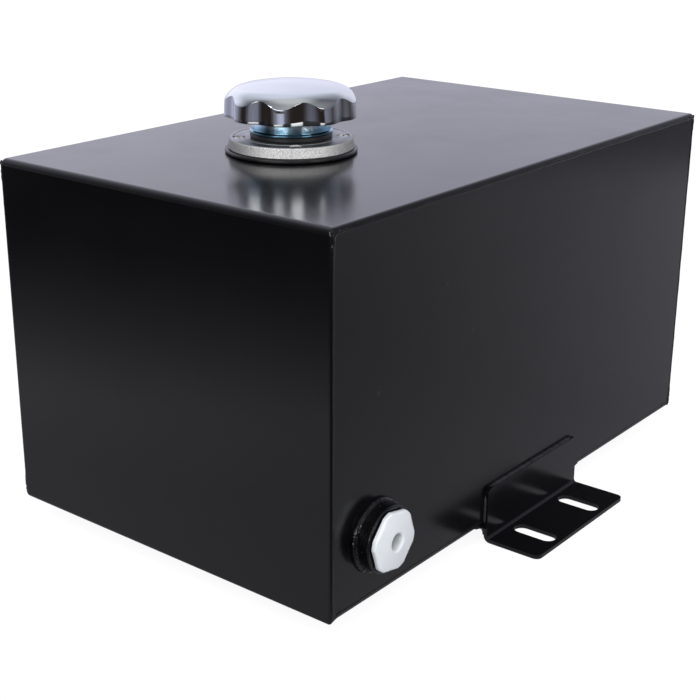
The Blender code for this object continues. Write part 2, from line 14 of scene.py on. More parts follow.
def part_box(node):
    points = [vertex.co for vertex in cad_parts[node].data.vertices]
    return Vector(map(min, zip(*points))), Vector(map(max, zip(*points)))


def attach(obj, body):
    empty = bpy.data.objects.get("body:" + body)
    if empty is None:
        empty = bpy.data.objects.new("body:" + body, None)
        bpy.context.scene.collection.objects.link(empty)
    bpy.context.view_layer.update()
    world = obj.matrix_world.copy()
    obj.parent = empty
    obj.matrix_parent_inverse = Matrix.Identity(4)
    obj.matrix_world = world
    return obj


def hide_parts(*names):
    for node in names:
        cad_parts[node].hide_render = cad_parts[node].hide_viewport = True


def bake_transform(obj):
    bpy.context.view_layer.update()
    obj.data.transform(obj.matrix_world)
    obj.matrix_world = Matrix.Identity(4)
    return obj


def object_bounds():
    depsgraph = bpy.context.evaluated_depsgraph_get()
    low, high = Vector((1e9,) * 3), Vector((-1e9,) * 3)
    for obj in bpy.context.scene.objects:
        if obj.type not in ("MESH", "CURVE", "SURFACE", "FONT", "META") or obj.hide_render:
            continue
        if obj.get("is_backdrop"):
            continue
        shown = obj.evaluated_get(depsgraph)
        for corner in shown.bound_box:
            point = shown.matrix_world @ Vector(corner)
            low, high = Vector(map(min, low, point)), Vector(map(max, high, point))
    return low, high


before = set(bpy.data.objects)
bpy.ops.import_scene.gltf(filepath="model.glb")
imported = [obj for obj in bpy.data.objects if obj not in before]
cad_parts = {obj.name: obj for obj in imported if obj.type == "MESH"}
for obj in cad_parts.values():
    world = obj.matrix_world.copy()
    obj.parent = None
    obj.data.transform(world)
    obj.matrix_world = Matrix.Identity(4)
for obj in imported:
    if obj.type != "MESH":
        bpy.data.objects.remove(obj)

MM = 0.001
CAD_LO, CAD_HI = (v.copy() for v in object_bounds())


def box_mm(node):
    return [corner * 1000 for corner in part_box(node)]


def middle_mm(node):
    low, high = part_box(node)
    return (low + high) / 2 * 1000


TANK_LOW, TANK_HIGH = box_mm("tank_wrap")
LENGTH, WIDTH, HEIGHT = TANK_HIGH - TANK_LOW
TOP = TANK_HIGH.z
HALF = TANK_HIGH.y
CENTRE_Z = (TANK_LOW.z + TANK_HIGH.z) / 2
SHEET = 2.5
BEND_R = 4.2  # outer bends of the band
RIM_R = 2.3  # rounding of the band's two open rims

FILL = middle_mm("flange_gasket")
FILL.z = TOP
SCREW_CIRCLE_R = 31.5
LOCK_ANGLE = 20.0  # direction of the lock bar and of the gaps in the flange's lip

BOSS_R = 19.6
BORE_R = 12.95
PITCH = 1.814  # of the port threads


# ---------------------------------------------------------------- outlines and meshes
def sweep(start, end, steps):
    """Angles in radians from start to end degrees, both included."""
    return [radians(start + (end - start) * k / steps) for k in range(steps + 1)]


def around(count):
    return [2 * pi * k / count for k in range(count)]


def polar(radius, angle, x=0.0, y=0.0):
    return x + radius * cos(angle), y + radius * sin(angle)


def circle(radius, count, x=0.0, y=0.0):
    return [polar(radius, angle, x, y) for angle in around(count)]


def spun(profile, angle):
    """A (radius, z) profile stood up at an angle about z."""
    return [(*polar(radius, angle), z) for radius, z in profile]


def rounded_box(width, height, radius, steps):
    across, up = width / 2 - radius, height / 2 - radius
    corners = ((across, up, 0), (-across, up, 90), (-across, -up, 180), (across, -up, 270))
    return [
        polar(radius, angle, x, y)
        for x, y, start in corners
        for angle in sweep(start, start + 90, steps)
    ]


def slot_outline(x, y, length, width):
    radius, reach = width / 2, (length - width) / 2
    turn = sweep(0, 180, 16)
    upper = [polar(radius, angle, x, y + reach) for angle in turn]
    return upper + [polar(-radius, angle, x, y - reach) for angle in turn]


def sector(inner, outer, start, end, steps=16):
    arc = sweep(start, end, steps)
    return [polar(outer, angle) for angle in arc] + [polar(inner, angle) for angle in arc[::-1]]


def fillet(points, radii, steps):
    """A closed outline with corners rounded. radii maps a point's index to its radius."""
    out = []
    for i, point in enumerate(points):
        if i not in radii:
            out.append(point)
            continue
        before, corner, after = (
            np.array(points[j % len(points)], float) for j in (i - 1, i, i + 1)
        )
        back, ahead = before - corner, after - corner
        back_length, ahead_length = np.linalg.norm(back), np.linalg.norm(ahead)
        back, ahead = back / back_length, ahead / ahead_length
        angle = acos(float(back @ ahead))
        reach = min(radii[i] / tan(angle / 2), 0.48 * back_length, 0.48 * ahead_length)
        radius = reach * tan(angle / 2)
        inward = (back + ahead) / np.linalg.norm(back + ahead)
        centre = corner + inward * radius / sin(angle / 2)
        first, last = corner + back * reach - centre, corner + ahead * reach - centre
        start = atan2(first[1], first[0])
        turn = (atan2(last[1], last[0]) - start + pi) % (2 * pi) - pi
        out += [polar(radius, start + turn * k / steps, *centre) for k in range(steps + 1)]
    return out


def mesh_from(points, faces):
    build = bmesh.new()
    verts = [build.verts.new(Vector(point) * MM) for point in points]
    for face in faces:
        build.faces.new([verts[i] for i in face])
    bmesh.ops.recalc_face_normals(build, faces=build.faces)
    mesh = bpy.data.meshes.new("shape")
    build.to_mesh(mesh)
    build.free()
    return mesh


def quads(low, high):
    """Faces between two closed rows of vertex numbers; a row of one repeated number is a pole."""
    corners = zip(low, low[1:] + low[:1], high[1:] + high[:1], high)
    return [list(dict.fromkeys(face)) for face in corners]


def lathe(profile, segments, wobble=None):
    """A closed (radius, z) profile turned about z. wobble(radius, z, angle, i) moves a point."""
    points, rings = [], []
    for i, (radius, z) in enumerate(profile):
        first = len(points)
        if radius < 1e-6:
            rings.append([first] * segments)
            points.append((0.0, 0.0, z))
            continue
        rings.append(list(range(first, first + segments)))
        for angle in around(segments):
            spot = wobble(radius, z, angle, i) if wobble else (radius, z)
            points += spun([spot], angle)
    faces = []
    for low, high in zip(rings, rings[1:] + rings[:1]):
        if low[0] != low[-1] or high[0] != high[-1]:
            faces += quads(low, high)
    return mesh_from(points, faces)


def loft(loops, closed=False):
    """A skin over loops of equal size, capped at both ends unless closed on itself."""
    size = len(loops[0])
    points = [point for loop in loops for point in loop]
    rows = [list(range(start, start + size)) for start in range(0, len(points), size)]
    faces = [] if closed else [rows[0], rows[-1]]
    for low, high in zip(rows, rows[1:] + (rows[:1] if closed else [])):
        faces += quads(low, high)
    return mesh_from(points, faces)


def prism(outline, low, high):
    return loft([[(x, y, z) for x, y in outline] for z in (low, high)])


def prism_along_y(outline, low, high):
    return loft([[(x, y, z) for x, z in outline] for y in (low, high)])


def joined(meshes):
    build = bmesh.new()
    for mesh in meshes:
        build.from_mesh(mesh)
        bpy.data.meshes.remove(mesh)
    made = bpy.data.meshes.new("tool")
    build.to_mesh(made)
    build.free()
    return made


def new_object(name, data):
    obj = bpy.data.objects.new(name, data)
    bpy.context.scene.collection.objects.link(obj)
    return obj


def boolean(mesh, tool_mesh, operation):
    """mesh with tool_mesh cut from it or joined to it, both in the same coordinates."""
    work, tool = new_object("work", mesh), new_object("tool", tool_mesh)
    step = work.modifiers.new("cut", "BOOLEAN")
    step.solver, step.operation, step.object = "EXACT", operation, tool
    bpy.context.view_layer.update()
    evaluated = work.evaluated_get(bpy.context.evaluated_depsgraph_get())
    result = bpy.data.meshes.new_from_object(evaluated)
    for obj in (work, tool):
        bpy.data.objects.remove(obj, do_unlink=True)
    bpy.data.meshes.remove(mesh)
    bpy.data.meshes.remove(tool_mesh)
    return result


def cut(mesh, tools):
    return boolean(mesh, joined(tools), "DIFFERENCE")


def piece(name, mesh, look, body="tank", replaces=None, place=(0, 0, 0), tilt=0, spin=0,
          sharp=35, bevel=0.0, bevel_steps=2, weighted=True):
    """An object riding on a CAD body, its tilt about X, spin about Z and place baked in."""
    material, slot = look
    turn = Matrix.Rotation(radians(spin), 4, "Z") @ Matrix.Rotation(radians(tilt), 4, "X")
    mesh.transform(Matrix.Translation(Vector(place) * MM) @ turn)
    mesh.name = name
    mesh.materials.clear()
    mesh.materials.append(material)
    obj = new_object(name, mesh)
    mesh.shade_smooth()
    mesh.set_sharp_from_angle(angle=radians(sharp))
    if bevel:
        edge = obj.modifiers.new("edge", "BEVEL")
        edge.width, edge.segments = bevel * MM, bevel_steps
        edge.limit_method, edge.angle_limit = "ANGLE", radians(sharp)
        edge.use_clamp_overlap, edge.harden_normals = True, False
        edge.miter_outer = "MITER_ARC"
    if weighted:
        normals = obj.modifiers.new("normals", "WEIGHTED_NORMAL")
        normals.keep_sharp, normals.weight = not bevel, 50
    if body:
        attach(obj, body)
    if replaces:
        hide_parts(replaces)
    return obj


def wave(x, y=0.0, z=0.0):
    """Smooth noise that gives hand-made parts their unevenness."""
    return noise.noise(Vector((x, y, z)))


# ---------------------------------------------------------------- node trees
VIEW_HEADING = radians(38.14)  # compass direction the camera looks in, from +X towards +Y


class Nodes:
    """A node tree being built. Inputs take numbers, colours or output sockets."""

    def __init__(self, tree, output):
        self.tree = tree
        tree.nodes.clear()
        self.surface = self.add(output).inputs["Surface"]

    def add(self, kind, inputs=None, **props):
        node = self.tree.nodes.new(kind)
        for key, value in props.items():
            setattr(node, key, value)
        for key, value in (inputs or {}).items():
            self.put(node.inputs[key], value)
        return node

    def put(self, socket, value):
        if isinstance(value, bpy.types.NodeSocket):
            self.tree.links.new(value, socket)
        elif isinstance(value, tuple) and len(value) == 3 and socket.type == "RGBA":
            socket.default_value = (*value, 1.0)
        else:
            socket.default_value = value

    def ramp(self, fac, stops):
        """Colours along fac. stops are (position, colour or grey level)."""
        node = self.add("ShaderNodeValToRGB", {"Fac": fac})
        elements = node.color_ramp.elements
        while len(elements) < len(stops):
            elements.new(0.5)
        for element, (at, colour) in zip(elements, stops):
            element.position = at
            element.color = (*(colour if isinstance(colour, tuple) else (colour,) * 3), 1.0)
        return node.outputs["Color"]

    def span(self, value, between, out=(0.0, 1.0), smooth=False):
        """value carried from one range to another, clamped."""
        inputs = {
            "Value": value,
            "From Min": between[0],
            "From Max": between[1],
            "To Min": out[0],
            "To Max": out[1],
        }
        curve = "SMOOTHSTEP" if smooth else "LINEAR"
        return self.add("ShaderNodeMapRange", inputs, interpolation_type=curve).outputs["Result"]

    def maths(self, operation, first, second=0.0):
        return self.add("ShaderNodeMath", {0: first, 1: second}, operation=operation).outputs[0]

    def mix(self, fac, first, second, mode="MIX"):
        inputs = {0: fac, 6: first, 7: second}
        return self.add("ShaderNodeMix", inputs, data_type="RGBA", blend_type=mode).outputs[2]

    def multiply(self, first, second):
        return self.mix(1.0, first, second, "MULTIPLY")

    def tint(self, base, mask, colour, amount):
        return self.mix(self.maths("MULTIPLY", mask, amount), base, colour)

    def split(self, vector):
        return self.add("ShaderNodeSeparateXYZ", {0: vector}).outputs

    def flat_length(self, x, y):
        squares = self.maths("MULTIPLY", x, x), self.maths("MULTIPLY", y, y)
        return self.maths("SQRT", self.maths("ADD", *squares))

    def compass(self, x, y):
        """0.5 straight ahead of the viewer, 0 and 1 behind, 0.75 left and 0.25 right."""
        turn = self.maths("SUBTRACT", self.maths("ARCTAN2", y, x), VIEW_HEADING)
        return self.maths("FRACT", self.maths("ADD", self.maths("DIVIDE", turn, 2 * pi), 1.5))

    def occlusion(self, distance, samples):
        inputs = {"Distance": distance}
        return self.add("ShaderNodeAmbientOcclusion", inputs, samples=samples).outputs["AO"]


def new_material(name):
    material = bpy.data.materials.new(name)
    material.use_nodes = True
    return material


class Surface(Nodes):
    """A Principled material patterned in object coordinates, in metres."""

    def __init__(self, name, **inputs):
        self.material = new_material(name)
        super().__init__(self.material.node_tree, "ShaderNodeOutputMaterial")
        self.shader = self.add("ShaderNodeBsdfPrincipled")
        self.put(self.surface, self.shader.outputs[0])
        self.place = self.add("ShaderNodeTexCoord").outputs["Object"]
        self.set(**inputs)

    def set(self, **inputs):
        for key, value in inputs.items():
            self.put(self.shader.inputs[key.replace("_", " ")], value)
        return self.material

    def noise(self, scale, detail=2.0, rough=0.5, distort=0.0, vector=None):
        inputs = {
            "Vector": vector or self.place,
            "Scale": scale,
            "Detail": detail,
            "Roughness": rough,
            "Distortion": distort,
        }
        return self.add("ShaderNodeTexNoise", inputs).outputs["Fac"]

    def cells(self, scale, random=1.0):
        inputs = {"Vector": self.place, "Scale": scale, "Randomness": random}
        return self.add("ShaderNodeTexVoronoi", inputs).outputs["Distance"]

    def bump(self, height, depth, below=None):
        """A normal where a height of 0..1 stands for depth metres."""
        inputs = {"Strength": 1.0, "Distance": depth, "Height": height}
        if below is not None:
            inputs["Normal"] = below
        return self.add("ShaderNodeBump", inputs).outputs["Normal"]


# ---------------------------------------------------------------- materials
def powder_coat():
    mat = Surface("powder_coat_satin", IOR=1.5)
    cloud = mat.noise(scale=9.0, detail=3.0, rough=0.55)
    tone = mat.ramp(cloud, [(0.3, (0.0012, 0.0012, 0.0015)), (0.7, (0.0021, 0.0021, 0.0026))])
    flake = mat.span(mat.cells(scale=2600.0), between=(0.0, 0.16), out=(1.0, 0.0))
    tone = mat.tint(tone, flake, colour=(0.010, 0.010, 0.012), amount=0.25)
    dust = mat.span(mat.noise(scale=260.0, detail=1.0, rough=0.3), between=(0.82, 0.86))
    tone = mat.tint(tone, dust, colour=(0.035, 0.035, 0.04), amount=0.5)
    fine = mat.maths("MULTIPLY", mat.noise(scale=1400.0, rough=0.6), 0.3)
    haze = mat.maths("ADD", mat.noise(scale=22.0, detail=4.0, rough=0.6), fine)
    swell = mat.bump(mat.noise(scale=14.0), depth=0.00010)
    return mat.set(
        Base_Color=tone,
        Roughness=mat.span(haze, between=(0.45, 0.85), out=(0.165, 0.215)),
        Normal=mat.bump(mat.noise(scale=700.0), depth=0.000008, below=swell),
    )


def lumpy_paint(name, tones, tone_scale, rough, rough_scale, lump_depth, lump_scale, swell=False):
    """Paint over weld metal or a boss. tones and rough are (low, high)."""
    mat = Surface(name, IOR=1.5)
    below = mat.bump(mat.noise(scale=170.0), depth=0.00025) if swell else None
    patches = mat.noise(scale=tone_scale, detail=3.0)
    haze = mat.noise(scale=rough_scale, detail=3.0)
    lumps = mat.noise(scale=lump_scale, detail=3.0, rough=0.6)
    return mat.set(
        Base_Color=mat.ramp(patches, [(0.35, tones[0]), (0.7, tones[1])]),
        Roughness=mat.span(haze, between=(0.3, 0.75), out=rough),
        Normal=mat.bump(lumps, depth=lump_depth, below=below),
    )


def white_plastic():
    mat = Surface(
        "moulded_white_plastic",
        IOR=1.49,
        Subsurface_Weight=0.05,
        Subsurface_Radius=(0.004, 0.0045, 0.005),
        Subsurface_Scale=0.6,
    )
    cloud = mat.noise(scale=55.0, detail=3.0)
    tone = mat.ramp(cloud, [(0.3, (0.66, 0.69, 0.715)), (0.7, (0.70, 0.73, 0.75))])
    grime = mat.span(mat.noise(scale=420.0, rough=0.4), between=(0.74, 0.80))
    tone = mat.tint(tone, grime, colour=(0.55, 0.56, 0.56), amount=0.25)
    # Painted shade: the colour darkens where the surface is hemmed in, most in the plug's recess
    # and in the corner against the boss.
    corners = mat.ramp(mat.occlusion(distance=0.011, samples=8), [
        (0.0, (0.16, 0.17, 0.165)), (0.28, (0.42, 0.44, 0.43)),
        (0.52, (0.84, 0.85, 0.845)), (0.75, (1.0, 1.0, 1.0)),
    ])
    haze = mat.noise(scale=260.0, detail=3.0)
    swell = mat.bump(mat.noise(scale=90.0), depth=0.00006)
    return mat.set(
        Base_Color=mat.multiply(tone, corners),
        Roughness=mat.span(haze, between=(0.3, 0.7), out=(0.30, 0.42)),
        Normal=mat.bump(mat.noise(scale=1500.0), depth=0.00001, below=swell),
    )


def rubber(name, low, high, rough):
    """low and high are the darkest and palest tone, rough the two ends of the roughness."""
    mat = Surface(name, IOR=1.5)
    patches = mat.noise(scale=160.0, detail=4.0, rough=0.6)
    haze = mat.noise(scale=500.0, detail=3.0)
    grain = mat.noise(scale=1800.0, detail=3.0, rough=0.6)
    swell = mat.bump(mat.noise(scale=120.0), depth=0.00012)
    return mat.set(
        Base_Color=mat.ramp(patches, [(0.3, low), (0.75, high)]),
        Roughness=mat.span(haze, between=(0.3, 0.7), out=rough),
        Normal=mat.bump(grain, depth=0.00003, below=swell),
    )


def cast_alloy():
    """Sand-cast sides, with faces that look up turned on a lathe."""
    mat = Surface("cast_alloy_machined_top", Metallic=1.0)
    up = mat.split(mat.add("ShaderNodeNewGeometry").outputs["Normal"])[2]
    turned = mat.span(up, between=(0.90, 0.985))
    axis = {0: mat.place, 1: (FILL.x * MM, FILL.y * MM, 0)}
    from_axis = mat.add("ShaderNodeVectorMath", axis, operation="SUBTRACT").outputs[0]
    x, y, _ = mat.split(from_axis)
    groove_pitch = 0.00055
    phase = mat.maths("MULTIPLY", mat.flat_length(x, y), 2 * pi / groove_pitch)
    grooves = mat.maths("SINE", phase)

    grain = mat.noise(scale=1350.0, detail=3.0, rough=0.7)
    cast = mat.ramp(grain, [
        (0.32, (0.45, 0.445, 0.435)), (0.5, (0.74, 0.735, 0.725)), (0.68, (0.97, 0.965, 0.955)),
    ])
    # Painted shade: the cast colour darkens as the surface turns away from the viewer, so the
    # flange's sides go darker towards their ends.
    facing = mat.add("ShaderNodeLayerWeight", {"Blend": 0.5}).outputs["Facing"]
    shade = mat.ramp(facing, [(0.0, 1.0), (0.12, 0.94), (0.40, 0.58), (0.60, 0.50)])
    cast = mat.multiply(cast, shade)
    pits = mat.span(mat.cells(scale=1100.0), between=(0.02, 0.30), out=(1.0, 0.0))
    cast = mat.tint(cast, pits, colour=(0.34, 0.34, 0.335), amount=0.18)
    # The faces that look up get a dark tone of their own, a painted reflection of the dark
    # underside of the cap above them; their grooves and roughness are the turned finish.
    cloud = mat.noise(scale=260.0, detail=3.0)
    face = mat.ramp(cloud, [(0.3, (0.28, 0.29, 0.305)), (0.7, (0.37, 0.38, 0.395))])

    face_haze = mat.noise(scale=120.0, detail=3.0)
    rough = mat.add("ShaderNodeMix", {
        0: turned,
        2: mat.span(grain, between=(0.3, 0.7), out=(0.50, 0.62)),
        3: mat.span(face_haze, between=(0.3, 0.7), out=(0.30, 0.42)),
    }, data_type="FLOAT")
    lines = mat.span(grooves, between=(-1, 1), out=(0.48, 0.52))
    sand = mat.bump(mat.mix(turned, grain, lines), depth=0.00018)
    return mat.set(
        Base_Color=mat.mix(turned, cast, face),
        Metallic=mat.span(turned, between=(0.0, 1.0), out=(0.50, 0.92)),
        Roughness=rough.outputs[0],
        Normal=mat.bump(mat.noise(scale=60.0), depth=0.00010, below=sand),
    )


def chrome():
    mat = Surface("polished_chrome", Metallic=1.0)
    cloud = mat.noise(scale=40.0, detail=3.0)
    haze = mat.noise(scale=75.0, detail=4.0, rough=0.65)
    stretch = {"Vector": mat.place, "Scale": (1.0, 0.06, 1.0), "Rotation": (0.2, 0.1, 0.7)}
    stretched = mat.add("ShaderNodeMapping", stretch).outputs["Vector"]
    scratch = mat.noise(scale=700.0, vector=stretched)
    polish = mat.span(haze, between=(0.35, 0.75), out=(0.018, 0.06))
    scuffs = mat.span(scratch, between=(0.66, 0.74), out=(0.0, 0.05))
    lines = mat.bump(scratch, depth=0.000003)
    return mat.set(
        Base_Color=mat.ramp(cloud, [(0.3, (0.635, 0.67, 0.675)), (0.7, (0.685, 0.72, 0.725))]),
        Roughness=mat.maths("ADD", polish, scuffs),
        Normal=mat.bump(mat.noise(scale=110.0), depth=0.000015, below=lines),
    )


def blue_zinc():
    """Blue passivated zinc, its colour darker towards the bottom of the cup."""
    mat = Surface("blue_passivated_zinc", Metallic=1.0)
    film = mat.noise(scale=90.0, detail=3.0, rough=0.6, distort=0.8)
    pale = mat.ramp(film, [
        (0.30, (0.34, 0.58, 0.72)), (0.50, (0.54, 0.75, 0.86)), (0.72, (0.80, 0.90, 0.95)),
    ])
    dark = mat.ramp(film, [(0.3, (0.13, 0.29, 0.40)), (0.7, (0.24, 0.43, 0.55))])
    ragged = mat.span(film, between=(0.3, 0.7), out=(-0.0009, 0.0009))
    height = mat.maths("ADD", mat.split(mat.place)[2], ragged)
    # The colour goes darker towards the bottom of the cup, below about 15 to 18 mm above the
    # tank's top.
    fade = mat.span(height, between=((TOP + 15.4) * MM, (TOP + 18.2) * MM), smooth=True)
    haze = mat.noise(scale=300.0, detail=3.0)
    return mat.set(
        Base_Color=mat.mix(fade, dark, pale),
        Roughness=mat.span(haze, between=(0.3, 0.7), out=(0.07, 0.16)),
        Normal=mat.bump(mat.noise(scale=180.0), depth=0.00005),
    )


def plain_metal(name, low, high, rough, scale=300.0):
    """low and high are the darkest and palest tone, rough the two ends of the roughness."""
    mat = Surface(name, Metallic=1.0)
    patches = mat.noise(scale=scale, detail=3.0, rough=0.6)
    haze = mat.noise(scale=scale * 1.7, detail=3.0)
    return mat.set(
        Base_Color=mat.ramp(patches, [(0.3, low), (0.7, high)]),
        Roughness=mat.span(haze, between=(0.3, 0.7), out=rough),
        Normal=mat.bump(mat.noise(scale=scale * 3, detail=3.0), depth=0.00003),
    )


def strainer_sheet():
    """Stainless sheet with dimples between the windows of the strainer; the dimples are painted
    dark, painted shade in their hollows.
    """
    mat = Surface("strainer_sheet", Metallic=1.0)
    # The dimples' colour is dark, painted shade in the hollows; the same mask raises the bump.
    dimples_and_painted_shade = mat.span(mat.cells(scale=520.0, random=0.25), between=(0.25, 0.40))
    haze = mat.noise(scale=400.0, detail=3.0)
    return mat.set(
        Base_Color=mat.mix(dimples_and_painted_shade, (0.10, 0.10, 0.105), (0.60, 0.595, 0.58)),
        Roughness=mat.span(haze, between=(0.3, 0.7), out=(0.24, 0.40)),
        Normal=mat.bump(dimples_and_painted_shade, depth=0.0003),
    )


def foam():
    mat = Surface("open_cell_filter_foam", IOR=1.45)
    cells = mat.cells(scale=900.0)
    return mat.set(
        Base_Color=mat.ramp(cells, [(0.0, (0.012, 0.012, 0.013)), (0.6, (0.09, 0.09, 0.095))]),
        Roughness=mat.span(cells, between=(0.0, 0.7), out=(0.98, 0.8)),
        Normal=mat.bump(cells, depth=0.0009),
    )


# A look is a material and a slot name.
COAT = powder_coat(), "powder_coat"
SEAM = lumpy_paint(
    "powder_coat_over_weld", tones=((0.002, 0.002, 0.0025), (0.005, 0.005, 0.006)),
    tone_scale=120.0, rough=(0.13, 0.26), rough_scale=300.0, lump_depth=0.00007, lump_scale=900.0,
), "powder_coat"
# The beads' tone is several times paler than the powder coat's: painted light for what the
# rounded beads catch.
BEAD = lumpy_paint(
    "powder_coat_over_beads_painted_light", tones=((0.011, 0.011, 0.013), (0.021, 0.021, 0.025)),
    tone_scale=150.0, rough=(0.36, 0.46), rough_scale=300.0, lump_depth=0.00006, lump_scale=700.0,
), "powder_coat"
GLOSS = lumpy_paint(
    "gloss_paint_over_boss", tones=((0.0015, 0.0015, 0.002), (0.004, 0.004, 0.005)),
    tone_scale=200.0, rough=(0.04, 0.13), rough_scale=350.0, lump_depth=0.00017, lump_scale=760.0,
    swell=True,
), "boss_paint"
PLASTIC = white_plastic(), "white_plastic"
GASKET = rubber(
    "gasket_rubber_black",
    low=(0.006, 0.006, 0.007), high=(0.014, 0.014, 0.015), rough=(0.28, 0.42),
), "gasket_rubber"
SEAL = rubber(
    "seal_rubber_black",
    low=(0.008, 0.008, 0.009), high=(0.020, 0.020, 0.022), rough=(0.36, 0.50),
), "seal_rubber"
ALLOY = cast_alloy(), "cast_alloy"
CHROME = chrome(), "cap_chrome"
BLUE_ZINC = blue_zinc(), "zinc_plate"
ZINC = plain_metal(
    "zinc_plated_steel", low=(0.50, 0.54, 0.58), high=(0.68, 0.71, 0.74), rough=(0.20, 0.36),
), "zinc_plate"
SCREW_STEEL = plain_metal(
    "screw_steel_bright",
    low=(0.50, 0.49, 0.47), high=(0.74, 0.73, 0.70), rough=(0.18, 0.34), scale=500.0,
), "screw_steel"
INNER_STEEL = plain_metal(
    "inner_steel_turned", low=(0.42, 0.41, 0.40), high=(0.60, 0.59, 0.57), rough=(0.26, 0.42),
), "inner_steel"
SPRING_STEEL = plain_metal(
    "spring_wire",
    low=(0.40, 0.40, 0.41), high=(0.58, 0.58, 0.59), rough=(0.16, 0.32), scale=800.0,
), "spring_steel"
STRAINER = strainer_sheet()
FOAM = foam(), "filter_foam"

# ---------------------------------------------------------------- tank sheet
BEND_STEPS = 12
SCREW_SPOTS = [polar(SCREW_CIRCLE_R, radians(45 + 90 * k)) for k in range(4)]


def screw_holes(radius, segments, low, high, x=0.0, y=0.0):
    """Cutters on the flange's screw circle, about a filler axis at x, y."""
    return [
        prism(circle(radius, segments, x + spot[0], y + spot[1]), low, high)
        for spot in SCREW_SPOTS
    ]


def band_outside(inset, y):
    """The band's outer section at y, as (x, y, z). The lower bend of the -X end is tight and
    hangs a little low, more so towards -Y."""
    side = 0.45 * inset
    loop = rounded_box(
        LENGTH - 2 * side, HEIGHT - 2 * inset, BEND_R - (side + inset) / 2, BEND_STEPS
    )
    left, bottom = -LENGTH / 2 + side, -HEIGHT / 2 + inset
    radius = 1.45 + 0.8 * (y / HALF + 1) - 0.4 * inset
    drop = (1.0 - 0.55 * y / HALF) * (1 - 0.75 * inset / RIM_R)
    tight = [
        polar(radius, angle, left + radius, bottom + radius - drop)
        for angle in sweep(180, 270, BEND_STEPS - 1)
    ]
    corner = BEND_STEPS + 1
    loop[2 * corner:3 * corner] = tight + [(left + 5.5, bottom)]
    return [(x, y, z) for x, z in loop]


def band_inside(y):
    loop = rounded_box(LENGTH - 2 * SHEET, HEIGHT - 2 * SHEET, BEND_R - SHEET, BEND_STEPS)
    return [(x, y, z) for x, z in loop]


def tank_band():
    rim = [
        (RIM_R * (1 - sin(angle)), HALF - RIM_R * (1 - cos(angle))) for angle in sweep(0, 90, 8)
    ]
    loops = [band_outside(inset, -y) for inset, y in rim]
    loops += [band_outside(inset, y) for inset, y in rim[::-1]]
    band = loft(loops + [band_inside(HALF), band_inside(-HALF)], closed=True)
    band.transform(Matrix.Translation((0, 0, CENTRE_Z * MM)))
    low, high = TOP - 6, TOP + 4
    holes = [prism(circle(29.0, 72, FILL.x, FILL.y), low, high)]
    holes += screw_holes(2.4, 16, low, high, FILL.x, FILL.y)
    piece("tank_band_skin", cut(band, holes), COAT, replaces="tank_wrap", sharp=40)


def side_plate(name, side, port_node, node):
    """A plate closing the band, side is -1 at -Y and 1 at +Y."""
    port = middle_mm(port_node)
    low, high = sorted((side * HALF - side * 0.05, side * (HALF - SHEET)))
    gap = 2 * SHEET + 0.2
    box = rounded_box(LENGTH - gap, HEIGHT - gap, BEND_R - SHEET - 0.1, 6)
    sheet = prism_along_y([(x, z + CENTRE_Z) for x, z in box], low, high)
    hole = prism_along_y(circle(BOSS_R + 0.1, 96, port.x, port.z), low - 3, high + 3)
    piece(name, boolean(sheet, hole, "DIFFERENCE"), COAT, replaces=node)


tank_band()
side_plate("port_plate_skin", -1, "suction_port_bung", "port_side_plate")
side_plate("rear_plate_skin", 1, "return_port_bung", "rear_side_plate")


def seam_bead(name, side, seed):
    """The ground weld between band and plate: a low, wavy ridge, lumpier at the corners."""
    width, height = LENGTH - 2 * 1.75, HEIGHT - 2 * 2.95
    corners = rounded_box(width, height, 2.0, 6)
    path = []
    for start, end in zip(corners, corners[1:] + corners[:1]):
        steps = max(1, round(dist(start, end) / 0.8))
        for k in range(steps):
            path.append(tuple(a + (b - a) * k / steps for a, b in zip(start, end)))
    loops, travel = [], 0.0
    for i, (x, z) in enumerate(path):
        before, after = path[i - 1], path[(i + 1) % len(path)]
        travel += dist((x, z), before)
        along_x, along_z = after[0] - before[0], after[1] - before[1]
        size = hypot(along_x, along_z)
        out_x, out_z = along_z / size, -along_x / size
        if out_x * x + out_z * z < 0:
            out_x, out_z = -out_x, -out_z
        # 1 at a corner, 0 from 15 mm away
        corner = max(0.0, 1 - hypot(width / 2 - abs(x), height / 2 - abs(z)) / 15.0)
        lump = wave(travel * 0.55, seed, 3.1)
        slow = wave(travel * 0.045, seed, 7.7)
        drift = 0.30 * wave(travel * 0.11, seed, 1.3)
        drift += corner * 1.2 * wave(travel * 0.36, seed, 5.5)
        high = max(0.05, 0.20 + 0.10 * slow + 0.05 * lump + corner * (0.34 + 0.50 * lump))
        wide = 0.85 + 0.25 * slow + corner * (0.5 + 0.5 * wave(travel * 0.7, seed, 9.0))
        loop = []
        for k, angle in enumerate(sweep(0, 180, 8)):
            out = wide * cos(angle) + drift
            rise = high * sin(angle) - (0.25 if k in (0, 8) else 0.0)
            loop.append((x + out_x * out, side * (HALF + rise), z + out_z * out + CENTRE_Z))
        loops.append(loop)
    piece(name, loft(loops, closed=True), SEAM, sharp=70, weighted=False)


seam_bead("seam_weld_port_side", -1, seed=2.0)
seam_bead("seam_weld_rear_side", 1, seed=41.0)


def lump_mesh(centre, radii, seed, rough=0.35, rings=10, segments=16):
    """A small irregular drop of weld metal."""
    loops = []
    for i in range(1, rings):
        tip = pi * i / rings
        loop = []
        for angle in around(segments):
            way = (*polar(sin(tip), angle), cos(tip))
            swell = 1 + rough * wave(way[0] * 1.7 + seed, way[1] * 1.7, way[2] * 1.7)
            loop.append(tuple(centre[j] + way[j] * radii[j] * swell for j in range(3)))
        loops.append(loop)
    return loft(loops)


# Weld spots below each corner: distance in from the tank's end, height from the corner, size.
CORNER_SPOTS = (
    (1.6, -2.6, 1.25), (2.6, -4.8, 0.95), (1.9, -7.6, 0.8), (3.1, -10.8, 0.6), (2.7, -14.5, 0.45),
)


